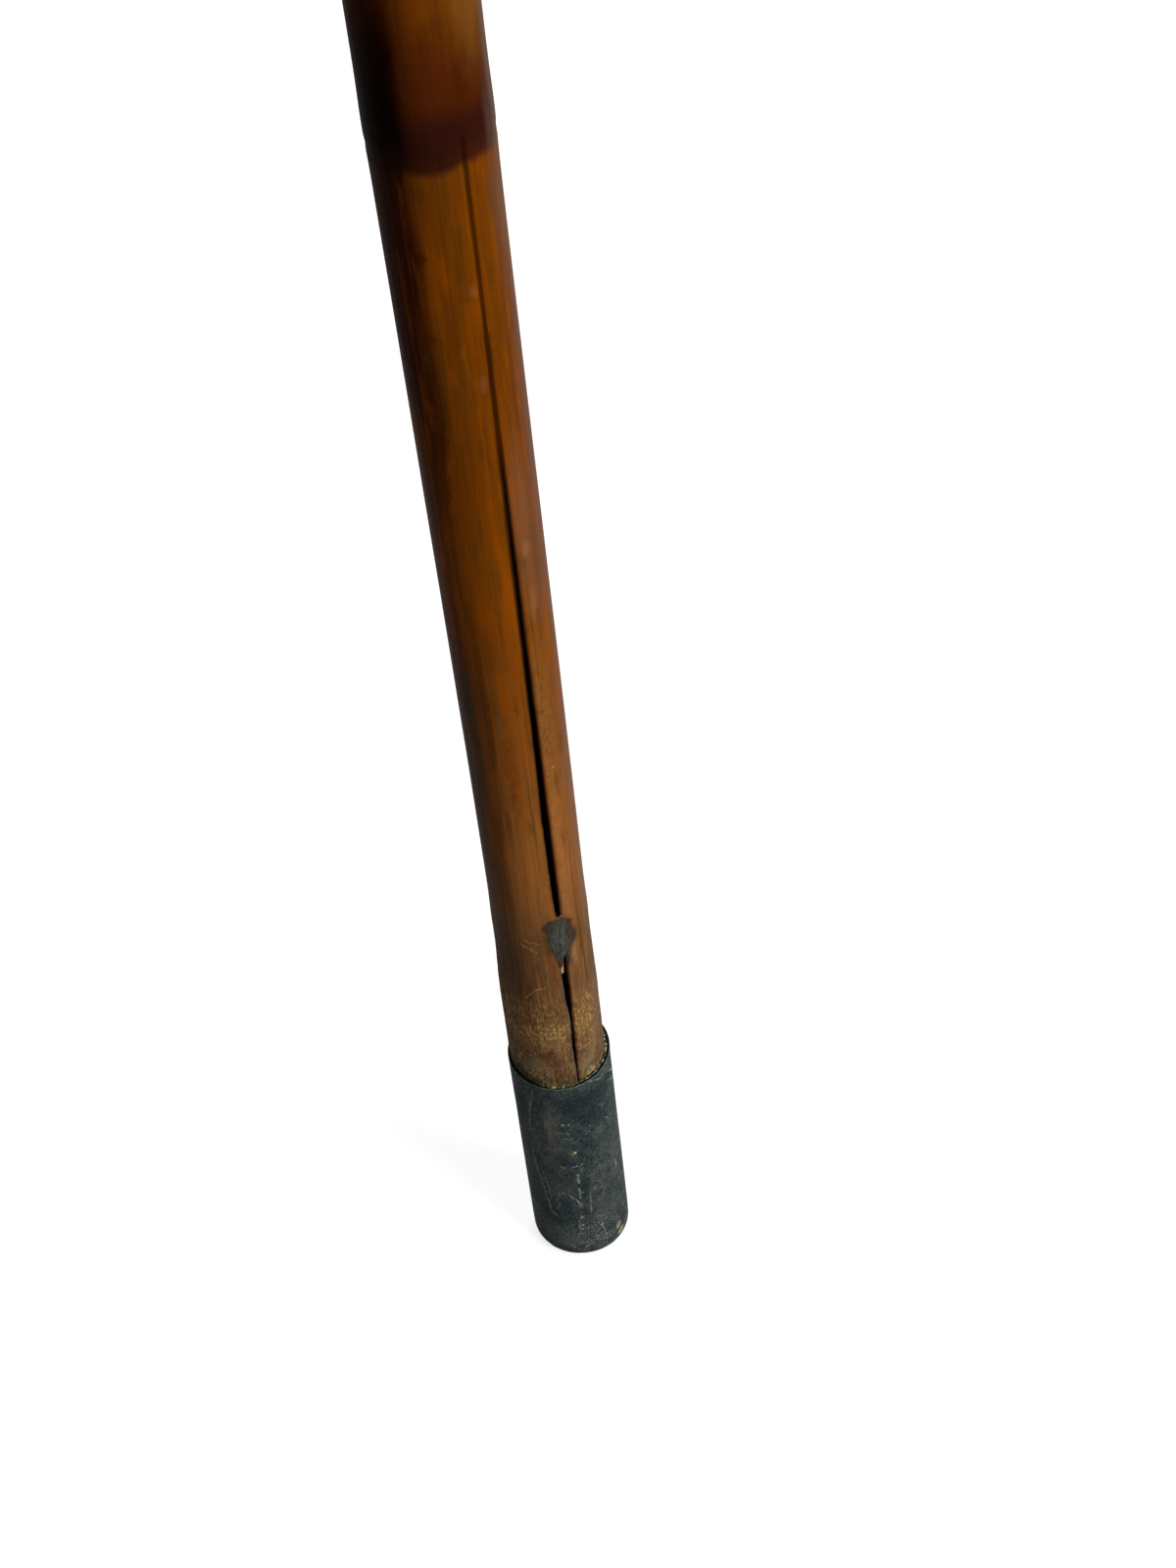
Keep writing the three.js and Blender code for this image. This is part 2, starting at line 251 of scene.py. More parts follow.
    def tones(self, value, stops):
        """Tones along a value, from rows of the value and its tone."""
        first, last = stops[0][0], stops[-1][0]
        made = self.tree.nodes.new("ShaderNodeValToRGB")
        while len(made.color_ramp.elements) < len(stops):
            made.color_ramp.elements.new(0.5)
        for element, (stop, *tone) in zip(made.color_ramp.elements, stops):
            element.position = (stop - first) / (last - first)
            element.color = paint(tone)
        self.feed(made.inputs[0], self.math("DIVIDE", self.minus(value, first), last - first))
        return made.outputs[0]

    def bump(self, relief, depth, **under):
        """Relief of a depth, on top of the relief that is given as Normal."""
        return self.node("ShaderNodeBump", {"Height": relief, "Distance": depth * MM, **under})[0]


def on_surface(radius, degrees, height):
    """Places in millimetres on a round surface."""
    radius, degrees, height = np.broadcast_arrays(radius, degrees, height)
    turn = np.radians(degrees)
    return np.stack([radius * np.sin(turn), -radius * np.cos(turn), height], -1)


def lumps(points, width, length, seed):
    """Smooth noise between -1 and 1 at each point, with lumps of a width, and of a length up the cane."""
    scaled = np.asarray(points).reshape(-1, 3) / (width, width, length)
    shift = Vector((seed * 7.31, seed * 3.17, seed * 5.73))
    values = [noise.noise(Vector(place) + shift) for place in scaled]
    return np.array(values).reshape(np.shape(points)[:-1])


def ramp(value, start, end):
    return np.clip((value - start) / (end - start), 0.0, 1.0)


def smooth(value, start, end):
    share = ramp(value, start, end)
    return share * share * (3.0 - 2.0 * share)


def hump(away, reach):
    """One where nothing is away, falling smoothly to little at a reach to either side."""
    return np.exp(-(away / reach) ** 2)


def over(degrees, rise, fall):
    """One from the end of a rise to the start of a fall."""
    return smooth(degrees, *rise) * smooth(-degrees, -fall[1], -fall[0])


def grid_faces(rows, columns, closed=True, first=0, skip=()):
    """Four-sided faces over rows of columns of points."""
    across = [(j, (j + 1) % columns) for j in range(columns if closed else columns - 1) if j not in skip]
    starts = [first + i * columns for i in range(rows - 1)]
    return [(row + j, row + k, row + columns + k, row + columns + j) for row in starts for j, k in across]


def mesh_of(name, points, faces, material, sharp=35, **marks):
    """A closed mesh from places in millimetres, with its doubles joined and its faces outward."""
    mesh = bpy.data.meshes.new(name)
    mesh.from_pydata((np.reshape(points, (-1, 3)) * MM).tolist(), [], faces)
    for mark, values in marks.items():
        layer = mesh.attributes.new(mark, "FLOAT", "POINT")
        layer.data.foreach_set("value", np.asarray(values, np.float32).ravel())
    shape = bmesh.new()
    shape.from_mesh(mesh)
    bmesh.ops.remove_doubles(shape, verts=shape.verts, dist=2e-7)
    bmesh.ops.delete(shape, geom=[v for v in shape.verts if not v.link_faces], context="VERTS")
    bmesh.ops.recalc_face_normals(shape, faces=shape.faces)
    shape.to_mesh(mesh)
    shape.free()
    mesh.shade_smooth()
    mesh.set_sharp_from_angle(angle=math.radians(sharp))
    mesh.materials.append(material)
    return mesh


def piece(mesh, node):
    """Puts a finished mesh on the cane in place of its node."""
    made = bpy.data.objects.new(mesh.name, mesh)
    scene.collection.objects.link(made)
    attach(made, "root")
    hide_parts(node)


def scar_edges(height):
    """The scar's left and right edge in degrees, a little ragged."""
    left = np.interp(height, *scar_left)
    right = np.interp(height, *scar_right)
    rag = scar_ragged * np.minimum(1.0, (right - left) / 12.0)
    level = on_surface(0.0, 0.0, height)
    return left + rag * lumps(level, 1, 1.3, 14), right + rag * lumps(level, 1, 1.1, 15)


def scar_at(degrees, height):
    """How deep the bud scar's pocket is."""
    left, right = scar_edges(height)
    inside = np.minimum(degrees - left, right - degrees) * math.radians(waist_radius)
    ends = np.minimum(height - scar_bottom, scar_top - height)
    return scar_depth * smooth(inside, 0.0, 0.9) * smooth(ends, 0.0, 1.4)


def culm_radius(height):
    """The dressed culm's radius, with its fuller foot and the low swelling and groove of each node."""
    radius = waist_radius + (foot_radius - waist_radius) * (1.0 - smooth(height, *foot_taper))
    radius += (top_radius - waist_radius) * np.clip((height - waist_height) / (culm_top - waist_height), 0.0, None)
    radius += foot_swell * smooth(height, *foot_swells) * (1.0 - smooth(height, *foot_narrows))
    for node_height in node_heights:
        away = height - node_height
        radius += node_swell * hump(away - swell_lift, swell_reach)
        radius -= node_groove * hump(away + groove_drop, groove_reach)
    return radius


def culm_skin(degrees, height):
    """The culm's outside radius with its fibres, its worn foot, the ring scored above the ferrule and the scar."""
    points = on_surface(waist_radius, degrees, height)
    worn = 1.0 - smooth(height, 92, 108)
    relief = fibre_wave * lumps(points, 4, 60, 1)
    relief += (fibre_depth + worn_fibre_depth * worn) * lumps(points, 0.75, 24, 2)
    relief += foot_roughness * worn * lumps(points, 1.3, 3, 3)
    ring = scored_ring + 0.9 * np.sin(np.radians(degrees * 1.5 + 20))
    broken_ring = 0.6 + 0.4 * lumps(points, 5, 5, 4)
    relief -= score_depth * hump(height - ring, score_width) * broken_ring
    relief *= 1.0 - 0.8 * smooth(-height, -62.5, -61)
    return culm_radius(height) + relief - scar_at(degrees, height)


def swayed(points):
    """Moves places by the slight wander of grown bamboo, whose foot stands a little to the left in the ferrule."""
    height = points[..., 2]
    share = ramp(height, *sway_span)
    free = np.sin(math.pi * share) ** 2
    points[..., 0] -= sway_left * free * np.sin(3 * math.pi * share - 1)
    points[..., 0] += bow_right * np.sin(math.pi * ramp(height, *bow_span) ** 0.7) ** 0.8
    points[..., 0] -= foot_left * (1.0 - smooth(height, 75, 100))
    points[..., 1] += sway_back * free * np.cos(2 * math.pi * share)
    return points


def steps_between(pairs):
    """Numbers from runs of a start, an end and a step."""
    return [number for start, end, step in pairs for number in np.arange(start, end - step / 4, step)]


must = [culm_foot, culm_top, *crack_heights]
runs = [(culm_foot, 60, 6), (60, 130, 0.6), (130, 312, 1.5), (312, culm_top, 6)]
for node_height in node_heights:
    must += [node_height + side * reach for side in (-1, 1) for reach in node_wall]
runs += [(node_height - 9, node_height + 9, 1.1) for node_height in node_heights[2:]]
heights = np.unique(must + [h for h in steps_between(runs) if min(abs(h - m) for m in must) > row_clearance])
heights = heights[np.append(True, np.diff(heights) > 0.05)]

fine_edge = [0, 0.5, 1.2, 2.1, 3.3, 4.7]
offsets = fine_edge + steps_between([(6.3, 100, 1.6), (100, 236, 3.2), (236, 353, 1.6)])
offsets = np.array(offsets + [360 - e for e in reversed(fine_edge)]) / 360
inner_shares = np.linspace(0, 1, 20)
outer_count, wall_count, inner_count = len(offsets), len(wall_steps), len(inner_shares)
loop_count = outer_count + 2 * wall_count + inner_count

left = np.interp(heights, crack_heights, crack_left)
right = np.interp(heights, crack_heights, crack_right)
open_rows = (right - left) > 0.05
ragged = np.minimum(1.0, (right - left) / 2.0) * open_rows
jagged = on_surface(waist_radius, 21.0, heights)
left = left + 0.45 * ragged * lumps(jagged, 2, 1.6, 5) + 0.5 * ragged * lumps(jagged, 2, 7, 6)
right = right + 0.35 * ragged * lumps(jagged, 2, 1.9, 7) + 0.5 * ragged * lumps(jagged, 2, 9, 8)
middle = (left + right) / 2.0
left = np.where(open_rows, left, middle)
right = np.where(open_rows, right, middle)

row_height = np.repeat(heights[:, None], outer_count, 1)
outer_degrees = right[:, None] + (360.0 - (right - left))[:, None] * offsets
front_degrees = np.where(outer_degrees > 180.0, outer_degrees - 360.0, outer_degrees)
right_lip = (outer_degrees - right[:, None]) * math.radians(waist_radius)
left_lip = (left[:, None] + 360.0 - outer_degrees) * math.radians(waist_radius)
lip = np.minimum(right_lip, left_lip)
lip_open = np.minimum(1.0, (right - left) / 2.5)[:, None]
outer_radius = culm_skin(front_degrees, row_height) - lip_round * lip_open * hump(lip, 0.3)
outer_points = on_surface(outer_radius, outer_degrees, row_height)

bore = np.full_like(heights, bore_radius)
for node_height in node_heights:
    bore -= (bore_radius - pierced_radius) * ramp(-np.abs(heights - node_height), -node_wall[1], -node_wall[0])


def crack_wall(edge, edge_radius):
    """Points of one side of the crack, from just under its lip to just short of the bore."""
    rows = []
    for share in wall_steps:
        torn = 1.2 * ragged * lumps(jagged + [0, share * 9, 0], 2, 3, 9)
        degrees = middle + (edge - middle) * (1.0 - (1.0 - crack_taper) * share) + torn * share * (1.0 - share) * 2
        rows.append(on_surface(edge_radius + (bore - edge_radius) * share, degrees, heights))
    return np.stack(rows, 1)


left_wall = crack_wall(left, outer_radius[:, -1])
right_wall = crack_wall(right, outer_radius[:, 0])[:, ::-1]
inner_left = middle + (left - middle) * crack_taper + 360.0
inner_right = middle + (right - middle) * crack_taper
inner_degrees = inner_left[:, None] + (inner_right - inner_left)[:, None] * inner_shares
inner_points = on_surface(bore[:, None], inner_degrees, heights[:, None])
culm_points = np.concatenate([outer_points, left_wall, inner_points, right_wall], 1)

# Dirt on the crack's lips, with painted shade on its walls and bore
within = np.ones((len(heights), loop_count - outer_count))
open_lip = (0.25 + 0.75 * lip_open) * open_rows[:, None]
edge_dirt = np.concatenate([hump(lip, 0.35) * open_lip, within], 1)
inside = np.concatenate([np.zeros_like(lip), within], 1)
inside[:, -1] = 0.5
# A painted highlight along the crack's left lip
rubbed_lip = np.zeros_like(inside)
rubbed_lip[:, :outer_count] = hump(left_lip - 0.1, 0.11) * open_rows[:, None]

wall_segments = {*range(outer_count - 1, outer_count + wall_count), *range(loop_count - wall_count - 1, loop_count)}
culm_faces = []
for i in range(len(heights) - 1):
    closed_pair = not (open_rows[i] or open_rows[i + 1])
    culm_faces += grid_faces(2, loop_count, True, i * loop_count, wall_segments if closed_pair else ())


def end_faces(row):
    """Closes one end of the tube with triangles between its outside and its bore."""
    first = row * loop_count
    bore_first = first + outer_count + wall_count
    faces = []
    k = inner_count - 1
    for j in range(outer_count):
        last = j == outer_count - 1
        while k > 0 and (last or 1 - inner_shares[k - 1] <= (offsets[j] + offsets[j + 1]) / 2):
            faces.append((first + j, bore_first + k - 1, bore_first + k))
            k -= 1
        if not last:
            faces.append((first + j, first + j + 1, bore_first + k))
    return faces


culm_faces += end_faces(0) + end_faces(len(heights) - 1)

bamboo = Finish("toasted_bamboo", waist_radius)
flat = bamboo.unrolled((0.5, 1.6))
level = bamboo.plus(bamboo.height, bamboo.fade(bamboo.speckle(5, 11, 3, shift=1), 0.2, 0.8, -4, 4))
bearing = bamboo.plus(bamboo.angle, bamboo.fade(bamboo.speckle(6, 30, shift=2), 0.2, 0.8, -9, 9))
bamboo.colour = bamboo.tones(level, [
    (62, 92, 84, 62), (66, 106, 84, 56), (72, 112, 82, 54), (79, 136, 104, 64), (85, 126, 92, 56), (93, 112, 78, 48),
    (106, 114, 80, 48), (117, 135, 90, 49), (128, 152, 95, 43), (142, 140, 86, 37), (162, 130, 77, 30),
    (188, 124, 68, 14), (216, 120, 61, 4), (250, 111, 56, 3), (330, 108, 53, 4), (800, 112, 56, 8)])


def up(start, end, low=0, high=1):
    return bamboo.fade(level, start, end, low, high)


def side_tones(*rows):
    """Tones on a length of the culm, each with the bearings that it fades in and out over."""
    for strength, tone, length, *bearings in rows:
        fades = [bamboo.fade(bearing, *span) for span in bearings]
        bamboo.lay(strength, tone, bamboo.between(level, *length), *fades)


# Broad tones: the toasted left, the right dulled by painted sheen, and what the unseen back carries on with
broad = bamboo.speckle(8, 55, 3, shift=4)
bamboo.grain(broad, 0.5, 0.72, 0.35, (92, 46, 8))
# Painted sheen: a duller greyish pink patch on the right side
bamboo.lay(0.75, (118, 77, 50), bamboo.spot(flat, (42, 214, 7, 58)))
bamboo.grain(broad, 0.4, 0.6, 0.5, (84, 40, 12), bamboo.fade(bamboo.math("ABSOLUTE", bearing), 80, 110))
side_tones(
    (0.5, (88, 46, 12), (120, 238, 14), (-16, -38), (-116, -92)),
    (0.78, (54, 41, 29), (118, 226, 14), (-38, -64)),
    (0.92, (52, 10, 4), (228, 2000, 22), (-16, -38), (-116, -92)),
    # Painted grey reflection haze on the left of the foot
    (0.42, (98, 88, 80), (66, 116, 8), (-38, -62)))

# Fibres: broad streaks and fine ones under the varnish
bands = bamboo.speckle(2.6, 26, 3, shift=33)
bamboo.grain(bands, 0.52, 0.7, 0.4, (88, 58, 14), up(120, 160))
bamboo.grain(bands, 0.48, 0.32, 0.5, (148, 70, 0), up(112, 150))
bamboo.lay(0.35, (150, 72, 0), bamboo.stroke(flat, (10, 160, 13, 262), 1.6, 0.9))
blotches = bamboo.speckle(3, 10, 4, 0.6, 37)
wide_fibre = bamboo.speckle(0.95, 38, shift=5)
fine_fibre = bamboo.speckle(0.3, 15, 4, 0.6, 6)
above = up(120, 190)
for layer in (
        (blotches, 0.54, 0.68, 0.42, (72, 46, 14), up(112, 140)),
        (blotches, 0.46, 0.32, 0.36, (150, 76, 6), up(112, 140)),
        (wide_fibre, 0.5, 0.28, 0.4, (70, 34, 8)),
        (wide_fibre, 0.52, 0.74, 0.36, bamboo.mix(above, (158, 92, 30), (146, 74, 0))),
        (fine_fibre, 0.46, 0.28, 1, (62, 32, 12), up(130, 230, 0.48, 0.2)),
        (fine_fibre, 0.56, 0.76, 1, bamboo.mix(above, (164, 104, 44), (150, 82, 4)), up(150, 230, 0.32, 0.2))):
    bamboo.grain(*layer)
left_edge = bamboo.times(bamboo.fade(bearing, -38, -54), bamboo.fade(bearing, -116, -92))
bamboo.lay(1, (20, 3, 1), left_edge, up(222, 252), up(308, 322, 0.7, 0.35))

# The worn foot: golden bare fibres, grime between them, and red-brown stains
worn = up(118, 92)
short_fibre = bamboo.speckle(0.5, 1.15, 3, 0.66, 7)
long_fibre = bamboo.speckle(0.42, 7, 4, 0.65, 17)
upper_foot = bamboo.times(worn, up(74, 86, 0.35, 1))
bare_foot = bamboo.fade(bamboo.plus(level, bamboo.fade(bearing, 18, 36, 0, 3.5)), 98, 84)
clusters = bamboo.fade(bamboo.speckle(1.8, 3, shift=27), 0.34, 0.56, 0.3, 1)
grime = bamboo.speckle(2.2, 2.6, 4, 0.65, 8)
for layer in (
        (long_fibre, 0.52, 0.7, 0.64, (162, 116, 66), upper_foot),
        (long_fibre, 0.48, 0.32, 0.7, (66, 42, 24), upper_foot),
        (short_fibre, 0.52, 0.66, 0.6, (172, 136, 86), bare_foot),
        (short_fibre, 0.46, 0.64, 0.62, (190, 148, 88), bamboo.between(level, 77.5, 87, 4), clusters),
        (short_fibre, 0.47, 0.34, 0.5, (66, 45, 28), bare_foot),
        (grime, 0.5, 0.68, 0.7, (66, 58, 40), up(84, 70)),
        (grime, 0.46, 0.3, 0.4, (150, 120, 80), up(100, 72))):
    bamboo.grain(*layer)

# Smudges and stains: degrees, height, width, length, strength and tone. Those at 56 to 60 degrees are painted sheen.
mottled = bamboo.unrolled((1.5, 1.7), 2.6)
broken = bamboo.fade(bamboo.speckle(0.9, 1.2, 3, 0.65, 19), 0.36, 0.56, 0.3, 1)
for *oval, strength, red, green, blue in (
        (-14, 74, 6, 5.6, 0.8, 84, 48, 34), (-7, 71, 5.4, 6, 0.75, 86, 50, 36), (-2, 67.6, 4, 5, 0.7, 92, 52, 36),
        (-42, 69.5, 9, 7, 0.6, 106, 94, 68), (-27, 68.4, 8, 6, 0.7, 130, 112, 80),
        (34, 67.6, 6, 7, 0.55, 128, 114, 86), (46, 70.6, 6, 6, 0.5, 134, 116, 88), (14, 75, 3, 9, 0.2, 98, 74, 54),
        (-2, 87, 4.6, 9, 0.45, 84, 56, 28), (40, 73, 5, 7, 0.35, 98, 62, 40),
        (-10, 121, 4, 16, 0.35, 160, 102, 50), (8, 101.5, 3, 13, 0.75, 122, 58, 32),
        (4, 106.5, 3, 6, 0.4, 92, 60, 34), (-12, 110, 6, 7, 0.4, 84, 58, 32),
        (36.5, 102.5, 1.6, 9, 0.5, 168, 124, 84), (48, 90.5, 4, 9, 0.4, 124, 78, 54),
        (33, 140, 3.6, 110, 0.28, 170, 118, 72), (13, 121, 1.5, 12, 0.5, 160, 88, 28),
        (-38, 100, 8, 26, 0.4, 84, 60, 42), (-46, 84, 7, 8, 0.45, 80, 64, 50),
        (-24, 71, 5, 5.4, 0.75, 130, 106, 78), (2, 112, 4, 6, 0.35, 92, 60, 36),
        (-40, 128, 8, 18, 0.4, 78, 58, 36), (-62, 66, 9, 7, 0.85, 36, 36, 26), (-8, 150, 3, 14, 0.4, 94, 56, 22),
        (-25, 190, 5, 20, 0.25, 80, 50, 20), (5, 87, 3, 16, 0.35, 82, 54, 28), (51, 77.5, 6, 6, 0.4, 92, 68, 48),
        (57, 246, 5, 44, 0.35, 90, 58, 42), (5, 113, 3.4, 14, 0.3, 84, 56, 30), (-9, 160, 4, 32, 0.3, 70, 48, 18),
        (14, 126, 2.6, 18, 0.3, 70, 42, 20), (14, 248, 3.2, 34, 0.35, 84, 42, 4),
        (56, 208, 4, 46, 0.3, 88, 66, 48), (36, 174, 6, 44, 0.45, 148, 94, 46), (40, 250, 7, 40, 0.4, 80, 42, 10),
        (-27, 272, 3, 4, 0.7, 58, 26, 6), (-26, 256, 5, 2.4, 0.5, 64, 30, 6), (36, 302, 4.2, 12, 0.75, 48, 20, 3),
        (60, 134, 6, 22, 0.35, 92, 68, 50), (58, 208, 5, 26, 0.25, 84, 58, 40), (14, 306, 6, 26, 0.35, 92, 36, 8),
        (4, 287.5, 7, 3, 0.3, 64, 38, 40)):
    bamboo.lay(strength, (red, green, blue), bamboo.spot(mottled, oval), broken)

pale_specks = bamboo.speckle(0.5, 0.6, 1.5, 0.6, 29)
speckled = bamboo.times(up(75, 69), bamboo.fade(bearing, 4, -12))
rim_rub = bamboo.times(bamboo.between(level, 62, 65.6, 1.2), bamboo.between(bamboo.angle, 30, 84, 6))
bamboo.grain(pale_specks, 0.56, 0.63, 0.7, (162, 150, 112), speckled)
bamboo.grain(pale_specks, 0.44, 0.37, 0.5, (48, 44, 30), speckled)
# Darker bands just above the ferrule's rim, one across the front and one round the left
bamboo.lay(0.45, (56, 51, 38), up(67, 63), bamboo.between(bamboo.angle, -8, 40, 8))
bamboo.grain(short_fibre, 0.38, 0.56, 0.65, (176, 158, 118), rim_rub)
bamboo.lay(0.7, (38, 39, 26), up(68, 63.5), bamboo.fade(bearing, -12, -34))

# Scratches round the foot, and pale rubbed spots further up
score_gaps = bamboo.fade(bamboo.speckle(0.7, 0.7, 3, 0.7, 9), 0.36, 0.56)
scores = bamboo.most((bamboo.stroke(flat, line, width), 1) for *line, width in (
        (-30, 92.5, -18, 94.6, 0.34), (-18, 94.6, -5.5, 95.5, 0.34), (-77, 78.5, -38, 79.5, 0.4),
        (5, 77.5, 17, 75.8, 0.34), (44.5, 77, 62, 75.8, 0.36), (24.5, 74, 47, 73, 0.4), (-40, 82, -20, 80.6, 0.34),
        (-13, 109.8, -6, 109.4, 0.4), (-16, 107.6, -10, 106.8, 0.4), (-26, 108.6, -19, 107.9, 0.36),
        (-21, 110.2, -16, 109.6, 0.36), (48, 88, 60, 84, 0.34), (-12, 79.6, 12, 79, 0.45)))
bamboo.lay(0.6, (176, 146, 102), scores, score_gaps)
for *oval, strength in ((18, 265, 1.8, 4, 0.12), (17, 247, 1.9, 5, 0.12), (39, 210, 2.2, 4.5, 0.2),
                        (41, 197, 2.6, 12, 0.14), (40, 156, 1.3, 0.6, 0.8), (-14, 170, 2, 10, 0.12)):
    bamboo.lay(strength, (168, 128, 92), bamboo.spot(flat, oval))

# Each node above the worn foot: a dark ring with a crisp lower edge, and a scorched length above it
ring_wave = bamboo.plus(bamboo.height, bamboo.fade(bamboo.speckle(7, 7, shift=10), 0.2, 0.8, -0.9, 0.9))
for ring in node_heights[1:]:
    bamboo.lay(0.9, (64, 24, 4), bamboo.fade(ring_wave, ring - 1, ring + 2), up(ring + 30, ring + 10))
    ring_end = bamboo.fade(ring_wave, ring + 10, ring + 4)
    bamboo.lay(0.9, (46, 17, 12), bamboo.fade(ring_wave, ring - 3, ring - 0.8), ring_end)
bamboo.lay(0.5, (122, 80, 28), bamboo.spot(mottled, (50, 313, 9, 34)))
bamboo.lay(0.35, (92, 36, 12), bamboo.spot(mottled, (6, 302, 8, 16)))
side_tones(
    (0.95, (8, 2, 1), (286, 312, 6), (-16, -36), (-100, -75)),
    (0.55, (52, 18, 1), (308, 350, 8), (2, -26), (-110, -80)),
    # Painted grey reflection haze down the left side, darker at its edge, and a painted greyish pink sheen down the
    # right
    (0.4, (60, 61, 57), (88, 180, 14), (-28, -56), (-110, -90)),
    (0.3, (30, 32, 30), (112, 226, 8), (-54, -66), (-120, -100)),
    (0.6, (106, 82, 68), (66, 282, 10), (46, 74), (122, 92)),
    (0.6, (106, 82, 68), (282, 336, 10), (58, 74), (122, 92)))

# The crack: a dark line before it opens, dirt on its lips, painted shade inside and a painted highlight along its
# left lip. A fresh splinter shows by the filler.
stain_line = bamboo.unrolled((0.12, 1), 6)
line = bamboo.most((bamboo.stroke(stain_line, run, width), 1) for *run, width in (
    (22.4, 158, 23.2, 200, 1.1), (23.2, 200, 24.9, 237, 1.1), (24.9, 237, 26, 256, 0.95), (26, 256, 26.5, 292, 0.75)))
bamboo.lay(1, (38, 12, 1), line, up(226, 296, 0.88, 0.72))
smeared = bamboo.unrolled((0.3, 0.5), 2)
bamboo.lay(0.75, (54, 38, 28), bamboo.spot(smeared, (20.6, 109.6, 8, 16.2), 0.6))
smears = bamboo.most((bamboo.spot(smeared, oval, soft), 1) for *oval, soft in (
    (26.8, 102.6, 1.9, 7, 0.6), (38, 108.6, 2.8, 6.5, 0.7), (4.4, 113.4, 2.4, 4, 0.8), (33, 112.8, 3.6, 2.2, 0.8),
    (13, 114.6, 4.6, 1.9, 0.8)))
bamboo.lay(0.9, (54, 49, 43), smears)
bamboo.lay(0.7, (112, 88, 58), bamboo.spot(smeared, (20.5, 115.7, 6, 1.2)))
# Dirt on the crack's lips, and painted shade on its walls and bore
bamboo.lay(0.85, (26, 14, 8), bamboo.marked("edge_dirt"))
bamboo.lay(0.85, (196, 168, 134), bamboo.stroke(flat, (17.6, 100.6, 18.9, 99.2), 0.5))
bamboo.lay(0.8, (150, 84, 46), bamboo.stroke(flat, (19.4, 99.2, 20, 101.4), 0.35))
# A painted highlight, pale grey low down and olive brown higher up, along the crack's left lip
rubbed = bamboo.marked("rubbed_lip")
bamboo.lay(0.6, (116, 104, 96), rubbed, up(101, 94))
bamboo.lay(0.3, (104, 84, 62), rubbed, bamboo.between(level, 117, 140, 4))
# Painted shade, dark red-brown to near black, deep in the crack
depth = bamboo.marked("inside")
bamboo.grain(depth, 0.1, 0.3, 0.9, (84, 20, 12))
bamboo.grain(depth, 0.45, 0.75, 0.96, (16, 9, 6))

worn_relief = bamboo.times(short_fibre, bamboo.fade(worn, 0, 1, 0.15, 1))
bamboo.surface(
    Roughness=bamboo.plus(bamboo.fade(worn, 0, 1, 0.42, 0.7), bamboo.fade(fine_fibre, 0.3, 0.7, -0.04, 0.04)),
    Specular_IOR_Level=0.002, Specular_Tint=(1, 0.6, 0.3, 1),
    Normal=bamboo.bump(worn_relief, 0.12, Normal=bamboo.bump(fine_fibre, 0.04)))
culm_mesh = mesh_of("split_culm", swayed(culm_points), culm_faces, bamboo.material, edge_dirt=edge_dirt,
                    inside=inside, rubbed_lip=rubbed_lip)
piece(culm_mesh, "culm")

# The scar's filler
# Dark putty pressed into the scar of a bud with a blade and left a little proud. It runs down in a thin tail along
# the lower crack, whose left edge has broken away below it.
filler_rows = 56
filler_columns = 26
filler_proud = 0.05
filler_gap = 0.06
filler_thinnest = 0.004
filler_sunk = 0.02

filler_share, filler_height = np.meshgrid(np.linspace(0, 1, filler_columns),
                                          np.linspace(scar_bottom, scar_top, filler_rows))
filler_from, filler_to = scar_edges(filler_height)
filler_degrees = filler_from + (filler_to - filler_from) * filler_share
pocket = scar_at(filler_degrees, filler_height)
skin = culm_skin(filler_degrees, filler_height) + pocket
under_points = on_surface(skin, filler_degrees, filler_height)
body = np.minimum(1.0, pocket / 0.3)
pressed = filler_proud + 0.09 * lumps(under_points, 1.3, 1.8, 20) + 0.05 * lumps(under_points, 0.5, 2.4, 21)
filler_top = skin - filler_sunk + body * (filler_sunk + pressed)
filler_bottom = skin - pocket + filler_gap * body - filler_sunk * (1.0 - body)
filler_bottom = np.minimum(filler_top - filler_thinnest, filler_bottom)
closed_bottom = filler_top.copy()
closed_bottom[1:-1, 1:-1] = filler_bottom[1:-1, 1:-1]
filler_points = np.stack([on_surface(side, filler_degrees, filler_height) for side in (filler_top, closed_bottom)])
filler_faces = grid_faces(filler_rows, filler_columns, False)
filler_faces += grid_faces(filler_rows, filler_columns, False, filler_rows * filler_columns)

putty = Finish("dark_putty", waist_radius)
flecks = putty.fade(putty.speckle(0.28, 0.4), 0.6, 0.72)
strokes = putty.speckle(0.35, 2.6, 3, 0.6)
putty.colour = putty.mix(putty.fade(strokes, 0.35, 0.65), (48, 51, 46), (80, 82, 73))
putty.lay(0.4, (110, 108, 92), flecks)
middle_part = putty.spot(putty.unrolled((0.5, 0.6), 2), (20, 109, 5.2, 16.5), 0.6)
putty.colour = putty.mix(middle_part, (68, 50, 40), putty.colour)
putty.surface(Roughness=0.75, Specular_IOR_Level=0.02,
              Normal=putty.bump(strokes, 0.12, Normal=putty.bump(flecks, 0.05)))
piece(mesh_of("scar_putty", swayed(filler_points), filler_faces, putty.material, 50), "scar_filler")

